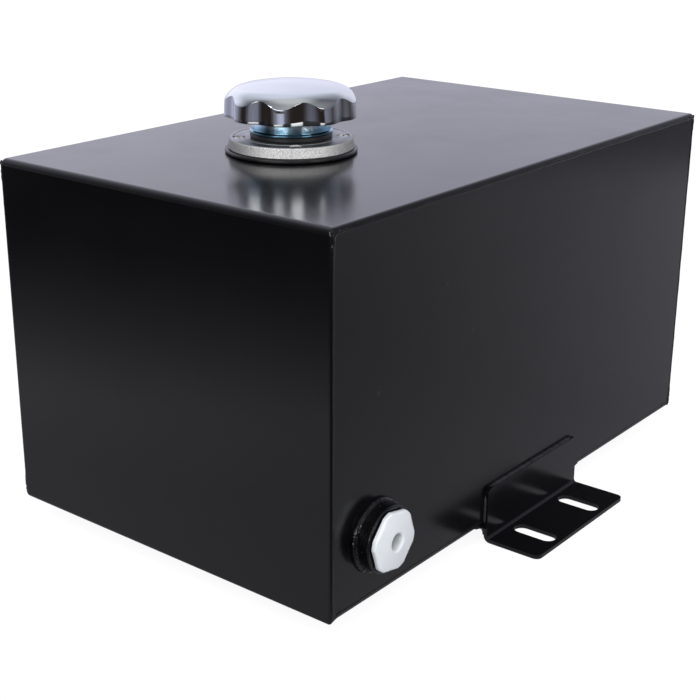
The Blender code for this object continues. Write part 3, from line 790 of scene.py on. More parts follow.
def corner_weld_spots():
    """Spots on all four upper corners; the first three repeat, flatter, at the lower ones."""
    spots = []
    for end in (-1, 1):
        for side in (-1, 1):
            y = side * (HALF - 0.15)
            for i, (inset, height, size) in enumerate(CORNER_SPOTS):
                x = LENGTH / 2 - inset
                shift = 0.5 * wave(i * 1.7, end * 3.1, side * 5.3)
                radii = (size, 0.42 * size, size * 1.15)
                spots.append(((end * (x - shift), y, TOP + height), radii))
                if i < 3:
                    radii = (size * 0.8, 0.36 * size, size * 1.5)
                    z = TANK_LOW.z - height + 5.0
                    spots.append(((end * (x - 0.6 - shift), y, z), radii))
    mesh = joined([lump_mesh(*spot, seed=3.7 * i) for i, spot in enumerate(spots)])
    piece("corner_weld_spots", mesh, SEAM, sharp=70, weighted=False)


corner_weld_spots()

# ---------------------------------------------------------------- feet
FOOT_SHEET = 2.5
FOOT_BEND_R = 2.0  # inside of the bend
UPRIGHT_R = 4.0  # upper corners of the upright
TIP_R = 4.2  # outer corners of the flat
FOOT_EXTRA = 1.6  # by which the foot outgrows its CAD box at +X
FOOT_SLOT = dict(length=28.6, width=11.0)
FOOT_SLOT_X, FOOT_SLOT_Y = 26.8, 21.6  # from the foot's middle and from the tank's side

# Slices of the web in the lower corners, by end: distance from the tank's side, relative width.
WEB_SLICES = {
    1: ((-1.2, 1.0), (-0.1, 1.0)),
    -1: ((-0.4, 1.0), (0.5, 0.92), (1.4, 0.7), (2.1, 0.42), (2.45, 0.12)),
}
WEB_TOP = {1: 12.2, -1: 13.4}


def foot_stations(back, tip, top):
    """(y, z) under and over the sheet with the sides' inset, from the upright's top outwards."""
    face = back + FOOT_SHEET
    stations = []
    for angle in sweep(0, 90, 8):
        z = top - UPRIGHT_R * (1 - cos(angle))
        stations.append(((back, z), (face, z), UPRIGHT_R * (1 - sin(angle))))
    y, z = face + FOOT_BEND_R, FOOT_SHEET + FOOT_BEND_R
    for angle in sweep(0, 90, 12):
        under = polar(-(FOOT_BEND_R + FOOT_SHEET), angle, y, z)
        # the inner side of the bend is polar at the smaller radius
        stations.append((under, polar(-FOOT_BEND_R, angle, y, z), 0.0))
    for angle in sweep(0, 90, 8):
        y = tip - TIP_R * (1 - sin(angle))
        stations.append(((y, 0.0), (y, FOOT_SHEET), TIP_R * (1 - cos(angle))))
    # the bend's outer side keeps the flat's underside at z = 0
    return stations


def foot(name, side):
    """An angle foot with its welds, side is -1 at -Y and 1 at +Y."""
    low, high = box_mm("mounting_" + name)
    back, tip = sorted((abs(low.y), abs(high.y)))
    top, width, middle = high.z, high.x - low.x, (low.x + high.x) / 2
    face = back + FOOT_SHEET

    def beyond(end, out):
        """x of a point that lies out beyond the foot's -X or +X edge."""
        return middle + end * (width / 2 + out) + (FOOT_EXTRA if end > 0 else 0.0)

    def sheet():
        loops = []
        for under, over, inset in bent_stations:
            left = middle - (width / 2 - inset)
            right = middle + width / 2 - inset + FOOT_EXTRA
            corners = ((left, under), (right, under), (right, over), (left, over))
            loops.append([(x, side * y, z) for x, (y, z) in corners])
        slots = [
            slot_outline(middle + end * FOOT_SLOT_X, side * (HALF + FOOT_SLOT_Y), **FOOT_SLOT)
            for end in (-1, 1)
        ]
        return cut(loft(loops), [prism(slot, -2, FOOT_SHEET + 2) for slot in slots])

    def end_bead(end):
        """Weld down one end of the upright."""
        loops = []
        for i in range(40):
            part = i / 39
            z = 7.5 + part * (top - 4.6 - 7.5)
            swell = 0.95 + 0.08 * sin(i * 1.7) + 0.22 * wave(i * 0.5, end, side)
            swell *= min(1.0, 3 * part + 0.35, 5 * (1 - part) + 0.3)
            loops.append([
                (beyond(end, swell * cos(angle) - 0.1),
                 side * (HALF + 0.5 + 1.05 * swell * sin(angle)), z)
                for angle in around(14)
            ])
        return loft(loops)

    def top_bead():
        """Weld along the upright's upper edge."""
        loops = []
        for i in range(70):
            part = i / 69
            run = width + FOOT_EXTRA - 2 * UPRIGHT_R - 0.6
            x = middle + FOOT_EXTRA / 2 + (part - 0.5) * run
            taper = min(1.0, 12 * part + 0.3, 12 * (1 - part) + 0.3)
            rise = (1.30 + 0.16 * sin(i * 1.3) + 0.25 * wave(i * 0.35, 3.0, side)) * taper
            section = [(HALF - 0.6, top - 1.2), (face - 0.35, top - 1.2)]
            for angle in sweep(0, 90, 8):
                y = HALF - 0.6 + (face - HALF + 0.25) * cos(angle)
                section.append((y, top - 0.5 + rise * sin(angle)))
            loops.append([(x, side * y, z) for y, z in section])
        return loft(loops)

    def corner_web(end):
        """A web of weld metal with a hollow curved edge, in a lower corner of the upright."""
        outline = [(-0.6, WEB_TOP[end]), (-0.6, 4.4)]
        outline += [
            (0.1 + 9.0 * (1 - cos(angle)), 4.6 + 6.9 * sin(angle)) for angle in sweep(0, 90, 14)
        ]
        outline.append((9.2, WEB_TOP[end]))
        return loft([
            [(beyond(end, (x + 0.6) * wide - 0.6), side * (HALF + out), z) for x, z in outline]
            for out, wide in WEB_SLICES[end]
        ])

    bent_stations = foot_stations(back, tip, top)
    piece(name + "_skin", sheet(), COAT, replaces="mounting_" + name,
          sharp=38, bevel=0.42, bevel_steps=3)
    beads = joined([end_bead(-1), end_bead(1), top_bead()])
    piece(name + "_tack_welds", beads, BEAD, sharp=50, weighted=False)
    webs = joined([corner_web(-1), corner_web(1)])
    piece(name + "_corner_webs", webs, COAT, sharp=50, weighted=False)


foot("foot_front", -1)
foot("foot_rear", 1)

# ---------------------------------------------------------------- ports
# Built about z, with z = 0 on the tank's side and +z pointing out of it.
PLUG_TURN = 18.5  # degrees
HEX_FLAT, HEX_R = 16.9, 18.15  # half across the flats, and where the corners are trimmed
HEX_BASE, HEX_H, HEX_DOME = 10.8, 2.6, 1.9
HEX_TOP = HEX_BASE + HEX_H

# The plug's blind recess: radius, depth below the dome's crown.
RECESS = (
    (4.55, 2.0), (4.3, 3.2), (3.95, 5.0), (3.6, 7.2), (3.3, 8.8), (2.7, 9.5), (1.9, 9.8),
    (0.9, 9.9),
)


def thread_phase(z, angle):
    return (z / PITCH - angle / (2 * pi)) % 1


def boss_mesh():
    """A plain outside, a stepped mouth and a threaded bore."""
    outline = [
        (13.0, -14.0), (BOSS_R, -14.0), (BOSS_R, 10.0), (15.6, 10.0), (15.6, 8.8), (13.5, 8.8),
        (BORE_R, 8.1),
    ]
    body = fillet(outline, {1: 0.5, 2: 0.9, 3: 0.25, 4: 0.15, 5: 0.2}, 5)
    rows = [(BORE_R, z) for z in np.arange(7.6, -13.6, -PITCH / 8)]

    def shape(radius, z, angle, i):
        if i >= len(body):
            return BORE_R + 0.55 * abs(2 * thread_phase(z, angle) - 1), z
        if radius > 19 and z < 8.5:
            radius += 0.05 * wave(angle * 9, z * 0.5, 1.0) + 0.05 * wave(angle * 31, z * 1.3, 4.0)
        return radius, z

    return lathe(body + rows, 144, shape)


def boss_weld_mesh():
    """A weld fillet round the boss with stacked ripples."""
    root = BOSS_R - 0.3
    loops = []
    for angle in around(420):
        x, y = cos(angle), sin(angle)
        patch = max(0.0, min(1.0, 0.35 + 2.6 * wave(x * 1.3, y * 1.3, 21.0)))
        ripple = 0.5 + 0.5 * sin(38 * angle + 3.2 * wave(angle * 2.5, 8.0, 1.0)) * patch
        fine = wave(x * 22, y * 22, 6.0)
        out = 2.35 + 0.55 * wave(x * 1.6, y * 1.6, 3.0) + 0.22 * ripple + 0.18 * fine
        tall = 2.9 + 0.75 * wave(x * 2.1, y * 2.1, 12.0) + 0.26 * ripple + 0.25 * fine
        section = [(root, -0.6), (root + out, -0.6)]
        for lift in sweep(0, 90, 12):
            bulge = 1 + 0.10 * sin(2 * lift) + 0.05 * wave(angle * 14, lift * 3, 2.0)
            section.append((root + out * cos(lift) * bulge, tall * sin(lift) * bulge - 0.1))
        section.append((root, tall - 0.3))
        loops.append(spun(section, angle))
    return loft(loops, closed=True)


def boss_spatter_mesh():
    """Fine drops on the boss, and two larger ones beside it."""
    drops = []
    for k in range(26):
        angle = 2 * pi * (k * 0.6180339887 % 1)  # golden ratio, so that drops spread evenly
        z = 3.4 + 2.6 * abs(wave(k * 1.9, 2.0, 5.0)) + 0.7 * (k % 3)
        size = 0.30 + 0.35 * abs(wave(k * 2.3, 7.0, 1.0))
        centre = (*polar(BOSS_R, angle), z)
        drops.append(lump_mesh(centre, (size, size, size * 1.3), k * 1.3, 0.4, 7, 10))
    drops.append(lump_mesh((-21.7, 3.4, 1.7), (1.35, 1.7, 1.25), 9.1, 0.3, 10, 16))
    drops.append(lump_mesh((-21.2, 5.9, 2.2), (0.7, 0.8, 0.7), 4.4, 0.4, 8, 12))
    return joined(drops)


def hex_radius(angle):
    """Radius of the trimmed hexagon, its corners a little soft."""
    from_flat = (angle - radians(PLUG_TURN) + pi / 6) % (pi / 3) - pi / 6
    flat = HEX_FLAT / cos(from_flat)
    soft = 0.10
    near = max(soft - abs(flat - HEX_R), 0.0) / soft
    return min(flat, HEX_R) - near * near * soft * 0.25


def dome(radius):
    return HEX_TOP + HEX_DOME * (1 - (radius / HEX_R) ** 2)


def plug_mesh():
    """Threaded shank, trimmed hexagon with soft bevels, shallow dome and tapered recess."""
    angles = around(240)
    loops = []

    def round_ring(radius, z):
        loops.append([(*polar(radius, angle), z) for angle in angles])

    def hex_ring(inset, z=None, blend=1.0):
        """Without z the ring lies on the dome. A smaller blend makes it rounder."""
        loop = []
        for angle in angles:
            radius = hex_radius(angle) * blend + (1 - blend) * HEX_FLAT - inset
            loop.append((*polar(radius, angle), dome(radius) if z is None else z))
        loops.append(loop)

    round_ring(11.2, -4.2)
    round_ring(11.6, -3.85)
    for z in np.arange(-3.4, 8.3, PITCH / 8):
        fade = min(1.0, (z + 3.6) / 1.6, max(0.0, (8.4 - z) / 1.5))
        loops.append([
            (*polar(12.1 + 0.5 * (1 - abs(2 * thread_phase(z, angle) - 1)) * fade, angle), z)
            for angle in angles
        ])
    for radius, z in ((12.1, 8.6), (12.5, 9.0), (12.55, HEX_BASE - 0.5), (12.6, HEX_BASE)):
        round_ring(radius, z)

    bevel = 1.15
    for inset, z in ((0.45, HEX_BASE), (0.12, HEX_BASE + 0.1), (0.0, HEX_BASE + 0.35)):
        hex_ring(inset, z)
    hex_ring(0.0, HEX_TOP - bevel)
    for k in range(1, 6):
        angle = radians(90 * k / 6)
        z = HEX_TOP - bevel + bevel * sin(angle) + HEX_DOME * 0.10 * k / 5
        hex_ring(1.05 * (1 - cos(angle)), z)
    for inset, blend in ((1.35, 1.0), (2.2, 1.0), (4.0, 0.75), (6.5, 0.3)):
        hex_ring(inset, blend=blend)

    for radius in (8.2, 7.2, 6.5):
        round_ring(radius, dome(radius))
    mouth, lip = 6.2, 1.5
    for angle in sweep(0, 72, 6)[1:]:
        round_ring(mouth - lip * sin(angle), dome(mouth) - lip * (1 - cos(angle)))
    for radius, depth in RECESS:
        round_ring(radius, dome(0) - depth)
    return loft(loops)


def port(prefix, side):
    middle = middle_mm(prefix + "_port_bung")
    pose = dict(place=(middle.x, side * HALF, middle.z), tilt=-90 * side)
    piece(prefix + "_boss_skin", boss_mesh(), GLOSS,
          replaces=prefix + "_port_bung", sharp=32, **pose)
    piece(prefix + "_boss_weld", boss_weld_mesh(), GLOSS, sharp=75, weighted=False, **pose)
    piece(prefix + "_boss_spatter", boss_spatter_mesh(), GLOSS, sharp=80, weighted=False, **pose)
    piece(prefix + "_oring_skin", lathe(circle(0.85, 24, 14.25, 9.85), 144), SEAL,
          prefix + "_seal", prefix + "_plug_oring", sharp=80, **pose)
    piece(prefix + "_plug_skin", plug_mesh(), PLASTIC,
          prefix + "_plug", prefix + "_port_plug", sharp=50, **pose)


port("suction", -1)
port("return", 1)

# ---------------------------------------------------------------- filler
LIP_R, NECK_R = 17.5, 24.0  # the lip's opening and the neck's inside
FLANGE_TOP = 9.0
LIP_LOW = FLANGE_TOP - 2.5
GAP_HALF = 17.5  # degrees from the middle of a lip gap to its edge


def flange_gasket():
    ring = fillet([(28.0, 0.2), (40.0, 0.2), (40.0, 2.5), (28.0, 2.5)], {1: 0.9, 2: 0.9}, 6)

    def uneven(radius, z, angle, i):
        return radius + (0.10 * wave(angle * 3, 1.0) if radius > 38 else 0), z

    mesh = cut(lathe(ring, 192, uneven), screw_holes(2.3, 16, -1, 4))
    piece("flange_gasket_skin", mesh, GASKET, replaces="flange_gasket", place=FILL, sharp=45)


def filler_flange():
    """A neck with an inward lip that has two gaps, and a ramp and a stop beside each gap."""
    face = FLANGE_TOP - 0.22  # shallow recess in the top
    outline = [
        (LIP_R, LIP_LOW), (NECK_R, LIP_LOW), (NECK_R, 0.0), (25.3, 0.0), (25.3, -8.0),
        (27.0, -8.0), (27.0, 2.7), (38.0, 2.7), (37.25, FLANGE_TOP), (34.9, FLANGE_TOP),
        (34.6, face), (28.6, face), (28.3, FLANGE_TOP), (LIP_R, FLANGE_TOP),
    ]
    radii = {7: 0.35, 8: 1.15, 9: 0.2, 10: 0.15, 11: 0.15, 12: 0.2, 13: 0.35}
    mesh = lathe(fillet(outline, radii, 6), 192)
    buried = LIP_LOW + 0.8
    joins, cuts = [], []
    for side in (0, 180):
        centre = LOCK_ANGLE + side
        edge = centre - GAP_HALF
        last = edge - 58.0
        loops = []
        for k, angle in enumerate(sweep(edge - 0.6, last, 16)):
            low = LIP_LOW - 0.05 - 1.0 * k / 16
            section = [(LIP_R + 0.5, low), (NECK_R + 0.8, low)]
            section += [(NECK_R + 0.8, buried), (LIP_R + 0.5, buried)]
            loops.append(spun(section, angle))
        joins.append(loft(loops))
        joins.append(prism(sector(19.0, NECK_R + 0.8, last - 9, last - 1.5, 6), 2.6, buried))
        gap = sector(12.0, NECK_R - 0.4, edge, centre + GAP_HALF)
        cuts.append(prism(gap, 5.0, 12.0))
    for block in joins:
        mesh = boolean(mesh, block, "UNION")
    mesh = cut(mesh, cuts + screw_holes(2.3, 20, 0, 12))
    mesh = cut(mesh, screw_holes(3.9, 40, 5.8, 12))
    piece("filler_flange_skin", mesh, ALLOY, replaces="filler_flange", place=FILL, sharp=30)


def flange_screws():
    """Low-headed screws with a tapered cross recess."""
    outline = [
        (0.0, -6.0), (1.4, -6.0), (1.95, -5.4), (1.95, 6.1), (3.5, 6.1), (3.5, 7.6), (2.6, 8.5),
        (0.0, 8.75),
    ]
    long, thin = (0.99, 2.2), (0.35, 0.5)  # half sizes of a bar of the cross, low and high
    corners = ((-1, -1), (1, -1), (1, 1), (-1, 1))
    for k, (spot_x, spot_y) in enumerate(SCREW_SPOTS):
        mesh = lathe(fillet(outline, {4: 0.15, 5: 0.45, 6: 0.8}, 5), 56)
        for wide, deep in ((long, thin), (thin, long)):
            bar = loft([
                [(x * wide[i], y * deep[i], z) for x, y in corners]
                for i, z in enumerate((6.9, 9.6))
            ])
            mesh = boolean(mesh, bar, "DIFFERENCE")
        name = "flange_screw_%d" % (k + 1)
        piece(name + "_skin", mesh, SCREW_STEEL, replaces=name,
              place=(FILL.x + spot_x, FILL.y + spot_y, TOP), spin=20 + 37 * k, sharp=32)


flange_gasket()
filler_flange()
flange_screws()

# ---------------------------------------------------------------- cap
CAP_R = 40.75  # where the shoulder's arc would meet its tangent upright
CAP_LOBE, CAP_FLUTE = 40.0, 37.3  # skirt radius on the lobes and in the flutes
CAP_LOW, CAP_TOP = 21.6, 42.15
CROWN_R, SHOULDER_R = 142.0, 13.4
LOBES, FLUTE_ANGLE, SCALLOP = 9, radians(-128.0), 1.5
CAP_WALL = 1.2
SKIRT_LEAN = 0.42  # by which the skirt draws in towards its top
CAP_LIP_R = 0.32
CREASE = 0.20  # reach of the softened crease on either side


def skirt_radius(angle):
    flute = (0.5 + 0.5 * cos(LOBES * (angle - FLUTE_ANGLE))) ** SCALLOP
    return CAP_LOBE - (CAP_LOBE - CAP_FLUTE) * flute


def cap_column(angle, wall, shoulder_steps, crown_steps, rounded_lip):
    """(radius, z) points from the skirt's foot to just short of the crown's centre."""
    shoulder, crown, top = SHOULDER_R - wall, CROWN_R - wall, CAP_TOP - wall
    centre = CAP_R - wall - shoulder
    rise = sqrt((crown - shoulder) ** 2 - centre**2)
    centre_z = top - crown + rise
    side = skirt_radius(angle) - wall
    start = acos((side - SKIRT_LEAN - centre) / shoulder)
    end = atan2(rise, centre)
    crease_z = centre_z + shoulder * sin(start)

    points = [(side, CAP_LOW + 0.2)]
    if rounded_lip:
        points = [
            (side - CAP_LIP_R * (1 - sin(turn)), CAP_LOW + CAP_LIP_R * (1 - cos(turn)))
            for turn in sweep(0, 90, 4)
        ]
    foot_z = CAP_LOW + CAP_LIP_R
    for part in (0.25, 0.5, 0.75, 0.9):
        z = foot_z + (crease_z - CREASE - foot_z) * part
        points.append((side - SKIRT_LEAN * part * part, z))

    # a quadratic curve softens the crease between skirt and shoulder
    after = start + CREASE / shoulder
    below = (side - SKIRT_LEAN, crease_z - CREASE)
    crease = (side - SKIRT_LEAN, crease_z)
    above = polar(shoulder, after, centre, centre_z)
    for part in (0.0, 0.2, 0.4, 0.6, 0.8):
        rest = 1 - part
        points.append(tuple(
            rest**2 * below[j] + 2 * part * rest * crease[j] + part**2 * above[j]
            for j in range(2)
        ))
    for k in range(shoulder_steps + 1):
        turn = after + (end - after) * k / shoulder_steps
        points.append(polar(shoulder, turn, centre, centre_z))
    for k in range(1, crown_steps):
        points.append(polar(crown, end + (pi / 2 - end) * k / crown_steps, 0.0, top - crown))
    return points


def cap_shell():
    segments = 468
    angles = around(segments)
    outside = [cap_column(angle, 0.0, 16, 14, True) for angle in angles]
    inside = [cap_column(angle, CAP_WALL, 6, 5, False) for angle in angles]
    points, skins = [], []
    for columns in (outside, inside):
        rows = []
        for ring in zip(*columns):
            rows.append(list(range(len(points), len(points) + segments)))
            points += [(*polar(radius, angle), z) for angle, (radius, z) in zip(angles, ring)]
        skins.append(rows)
    faces = []
    for rows, pole_z in zip(skins, (CAP_TOP, CAP_TOP - CAP_WALL)):
        pole = [len(points)] * segments
        points.append((0, 0, pole_z))
        for low, high in zip(rows, rows[1:] + [pole]):
            faces += quads(low, high)
    faces += quads(skins[0][0], skins[1][0])
    piece("cap_shell_skin", mesh_from(points, faces), CHROME, "cap", "cap_shell",
          place=FILL, sharp=60, weighted=False)


def cap_gasket():
    outline = [(18.6, 9.2), (24.8, 9.2), (24.8, 12.0), (18.6, 12.0)]
    ring = fillet(outline, {0: 0.3, 1: 0.8, 2: 0.9, 3: 0.3}, 6)
    piece("cap_gasket_skin", lathe(ring, 144), SEAL, "cap_seal", "cap_gasket",
          place=FILL, sharp=45)


def cap_cup():
    """A pressed cup with six holes in its floor."""
    outline = [
        (3.3, 12.3), (24.9, 12.3), (25.0, 13.3), (24.3, 14.2), (22.8, 22.4), (31.0, 22.4),
        (31.0, 23.6), (21.7, 23.6), (22.9, 13.5), (3.3, 13.5),
    ]
    radii = {1: 0.45, 2: 0.35, 3: 0.9, 4: 0.9, 5: 0.4, 6: 0.4, 7: 0.9, 8: 1.1}
    holes = [prism(circle(2.2, 20, x, y), 10, 16) for x, y in circle(12.5, 6)]
    mesh = cut(lathe(fillet(outline, radii, 8), 192), holes)
    piece("cap_cup_skin", mesh, BLUE_ZINC, "cap", "cap_base_cup", place=FILL, sharp=40)


def breather():
    """A foam ring, its outside drawn in by pleat-like cells."""
    outline = [(20.0, 24.0), (33.5, 24.0), (33.8, 33.0), (29.0, 36.3), (20.0, 36.3)]

    def pleat(radius, z, angle, i):
        return radius - (0.35 * abs(sin(30 * angle)) if radius > 28 else 0), z

    mesh = lathe(fillet(outline, {1: 0.8, 2: 1.0, 3: 1.0}, 4), 180, pleat)
    piece("breather_foam_skin", mesh, FOAM, "cap", "breather_element", place=FILL, sharp=60)


def cap_stud():
    """A stud with a collar, a head and a rolled thread at its foot."""
    outline = [(0.0, -15.0), (2.3, -15.0), (2.85, -14.5)]
    for i, z in enumerate(np.arange(-14.3, -4.0, 0.25)):
        outline.append((2.95 if i % 4 in (1, 2) else 2.55, z))
    outline += [
        (3.0, -3.8), (3.0, 14.0), (6.5, 14.0), (6.5, 16.5), (3.0, 16.5), (3.0, 38.6), (7.0, 38.6),
        (7.0, 40.1), (0.0, 40.1),
    ]
    piece("cap_stud_skin", lathe(outline, 64), INNER_STEEL, "cap", "cap_stud",
          place=FILL, sharp=32)


def lock_bar():
    """A round hub with two opposite arms."""
    hub_r = 8.6
    arm = degrees(asin(5.4 / hub_r))
    outline = []
    for side in (0, 180):
        middle = LOCK_ANGLE + side
        outline += [polar(22.3, angle) for angle in sweep(middle - 14, middle + 14, 14)]
        outline += [polar(hub_r, angle) for angle in sweep(middle + arm, middle + 180 - arm, 16)]
    mesh = boolean(prism(outline, 3.9, 6.1), prism(circle(3.3, 40), 1, 9), "DIFFERENCE")
    piece("lock_bar_skin", mesh, INNER_STEEL, "lock", "lock_plate",
          place=FILL, sharp=38, bevel=0.25)


def lock_spring():
    """A coil with flat end turns, stretched between the cap and the lock bar."""
    turns, steps = 5, 200
    coil_r, wire_r, low, high = 5.6, 0.58, -8.0, 3.6
    loops = []
    for k in range(steps + 1):
        part = k / steps
        climb = min(1.0, max(0.0, (part - 0.1) / 0.8))
        z = low + 0.6 + (high - low - 1.2) * climb
        loops.append(spun(circle(wire_r, 12, coil_r, z), 2 * pi * turns * part))
    coil = piece("lock_spring_coil", loft(loops), SPRING_STEEL, None, "lock_spring",
                 place=FILL, sharp=60, weighted=False)
    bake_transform(coil)


def spring_washer():
    outline = [(3.3, -9.6), (8.0, -9.6), (8.0, -8.4), (3.3, -8.4)]
    ring = fillet(outline, {0: 0.2, 1: 0.35, 2: 0.35, 3: 0.2}, 3)
    piece("spring_washer_skin", lathe(ring, 96), ZINC, "cap", "spring_washer",
          place=FILL, sharp=40)


def stud_nut():
    """A hexagon with its corners turned off above and below."""
    low, high = -13.9, -9.9
    turned = lathe(
        [(0.0, low), (4.9, low), (5.9, low + 0.6), (5.9, high - 0.6), (4.9, high), (0.0, high)],
        96,
    )
    mesh = boolean(prism(circle(5.77, 6), low, high), turned, "INTERSECT")
    mesh = boolean(mesh, prism(circle(3.15, 48), -18, -6), "DIFFERENCE")
    piece("stud_nut_skin", mesh, ZINC, "cap", "stud_nut", place=FILL, sharp=32)


def basket():
    """The strainer keeps its CAD shape."""
    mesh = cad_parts["basket_strainer"].data
    mesh.materials.clear()
    mesh.materials.append(STRAINER)
    for polygon in mesh.polygons:
        polygon.material_index = 0


cap_shell()
cap_gasket()
cap_cup()
breather()
cap_stud()
lock_bar()
lock_spring()
spring_washer()
stud_nut()
basket()


# ---------------------------------------------------------------- camera, in metres
def view_camera():
    data = bpy.data.cameras.new("view")
    data.sensor_width, data.lens, data.shift_y = 36.0, 72.42, 0.0005
    data.clip_start, data.clip_end = 0.01, 100.0
    camera = new_object("view", data)
    right = Vector((0.61916518, -0.78524058, 0.00563059))
    down = Vector((-0.26516761, -0.21582409, -0.93973725))
    forward = Vector((0.73913504, 0.58035954, -0.34185113))
    pose = Matrix((right, -down, -forward)).transposed().to_4x4()
    pose.translation = (-0.711548, -0.538616, 0.406317)
    camera.matrix_world = pose
    bpy.context.scene.camera = camera


view_camera()

# ---------------------------------------------------------------- floor and world, in metres
# Rings of light: position round the compass of Nodes.compass, colour.
# The far floor, which the cap's skirt mirrors.
FAR_RING = [
    (0.00, (0.15, 0.15, 0.17)), (0.04, (0.07, 0.065, 0.07)), (0.08, (0.03, 0.024, 0.02)),
    (0.145, (0.025, 0.02, 0.018)), (0.165, (0.27, 0.27, 0.31)), (0.19, (0.20, 0.20, 0.23)),
    (0.23, (0.12, 0.12, 0.13)), (0.26, (0.07, 0.06, 0.06)), (0.31, (0.16, 0.16, 0.18)),
    (0.36, (0.30, 0.30, 0.34)), (0.44, (0.60, 0.60, 0.70)), (0.60, (0.60, 0.60, 0.70)),
    (0.71, (0.34, 0.34, 0.40)), (0.75, (0.08, 0.07, 0.07)), (0.77, (0.028, 0.022, 0.018)),
    (0.82, (0.026, 0.02, 0.018)), (0.865, (0.11, 0.105, 0.11)), (0.89, (0.23, 0.23, 0.27)),
    (0.91, (0.25, 0.25, 0.29)), (0.93, (0.44, 0.44, 0.51)), (0.955, (0.62, 0.62, 0.72)),
    (0.975, (0.54, 0.54, 0.62)), (0.99, (0.20, 0.20, 0.23)), (1.00, (0.15, 0.15, 0.17)),
]
# The world at the horizon, above it, and high up.
LOW_RING = [
    (0.00, (0.16, 0.16, 0.19)), (0.05, (0.03, 0.03, 0.03)), (0.10, (0.10, 0.06, 0.04)),
    (0.16, (0.03, 0.03, 0.03)), (0.26, (0.30, 0.30, 0.36)), (0.36, (0.60, 0.60, 0.72)),
    (0.45, (0.84, 0.84, 1.00)), (0.64, (0.88, 0.88, 1.06)), (0.74, (0.50, 0.50, 0.60)),
    (0.80, (0.06, 0.05, 0.05)), (0.90, (0.12, 0.08, 0.05)), (0.95, (0.03, 0.03, 0.03)),
    (1.00, (0.16, 0.16, 0.19)),
]
MIDDLE_RING = [
    (0.00, (0.22, 0.22, 0.25)), (0.04, (0.12, 0.11, 0.12)), (0.08, (0.10, 0.09, 0.09)),
    (0.145, (0.12, 0.11, 0.11)), (0.17, (0.30, 0.30, 0.34)), (0.20, (0.22, 0.22, 0.25)),
    (0.26, (0.12, 0.12, 0.14)), (0.34, (0.38, 0.38, 0.45)), (0.42, (0.92, 0.92, 1.08)),
    (0.49, (0.90, 0.895, 1.08)), (0.55, (1.17, 1.165, 1.36)), (0.68, (1.02, 1.02, 1.19)),
    (0.735, (0.30, 0.30, 0.36)), (0.78, (0.05, 0.05, 0.06)), (0.82, (0.06, 0.05, 0.05)),
    (0.87, (0.20, 0.20, 0.23)), (0.90, (0.35, 0.35, 0.40)), (0.945, (0.60, 0.60, 0.68)),
    (0.975, (0.50, 0.50, 0.57)), (1.00, (0.22, 0.22, 0.25)),
]
HIGH_RING = [
    (0.00, (0.50, 0.50, 0.52)), (0.20, (0.30, 0.30, 0.32)), (0.32, (0.16, 0.16, 0.19)),
    (0.43, (0.52, 0.53, 0.62)), (0.50, (0.84, 0.87, 1.02)), (0.58, (0.84, 0.87, 1.02)),
    (0.66, (0.60, 0.61, 0.70)), (0.74, (0.16, 0.16, 0.19)), (0.84, (0.26, 0.26, 0.29)),
    (1.00, (0.50, 0.50, 0.52)),
]
ZENITH = (0.70, 0.70, 0.74)
# Two windows behind the viewer: position, brightness in tenths of LAMP_COLOUR's scale of 10.
LAMP_RING = [
    (0.00, 0.15), (0.085, 0.15), (0.105, 7.0), (0.15, 7.0), (0.172, 0.15), (0.50, 0.8),
    (0.865, 0.1), (0.885, 6.5), (0.925, 6.5), (0.960, 5.5), (0.980, 0.2), (1.00, 0.15),
]
LAMP_COLOUR = (10.0, 10.0, 10.3)
# The floor's glow off the tank's -X end, outwards, and beside its long side, towards +X.
END_GLOW = [
    (0.0, 0.37), (0.10, 0.41), (0.22, 0.45), (0.34, 0.34), (0.45, 0.225), (0.58, 0.17),
    (0.72, 0.09), (0.80, 0.05), (1.0, 0.04),
]
LONG_GLOW = [(0.0, 0.04), (0.077, 0.05), (0.10, 0.28), (0.266, 0.31), (0.59, 0.60), (0.75, 1.0)]
GLOW_TINT = (0.975, 0.975, 1.08)


def floor_material():
    """Near white to the camera with a faint contact shadow. Reflections see a lit table that
    fades into a dim room."""
    material = new_material("studio_floor")
    nodes = Nodes(material.node_tree, "ShaderNodeOutputMaterial")
    x, y, _ = nodes.split(nodes.add("ShaderNodeNewGeometry").outputs["Position"])
    shade = nodes.ramp(nodes.occlusion(distance=0.05, samples=16), [
        (0.0, (0.90, 0.90, 0.91)), (0.35, (0.995, 0.995, 0.998)), (0.8, (1.04, 1.04, 1.04)),
    ])
    seen = nodes.add("ShaderNodeEmission", {"Color": shade})

    skew = nodes.maths("MULTIPLY", nodes.maths("SUBTRACT", y, 0.30), 0.6)
    out = nodes.maths("ADD", nodes.span(x, between=(-0.22, -0.80)), skew)
    end = nodes.ramp(out, END_GLOW)
    long = nodes.ramp(nodes.span(x, between=(-0.40, 1.80)), LONG_GLOW)
    long = nodes.multiply(long, nodes.span(y, between=(-0.50, -0.16), out=(0.78, 1.14)))
    beside = nodes.span(y, between=(-0.16, -0.12), out=(1.0, 0.0))
    near = nodes.mix(beside, end, long)
    far = nodes.span(nodes.flat_length(x, y), between=(1.06, 1.20))
    light = nodes.mix(far, near, nodes.ramp(nodes.compass(x, y), FAR_RING))
    glow = nodes.add("ShaderNodeEmission", {"Color": nodes.multiply(light, GLOW_TINT)})

    by_camera = nodes.add("ShaderNodeLightPath").outputs["Is Camera Ray"]
    inputs = {0: by_camera, 1: glow.outputs[0], 2: seen.outputs[0]}
    nodes.put(nodes.surface, nodes.add("ShaderNodeMixShader", inputs).outputs[0])
    return material


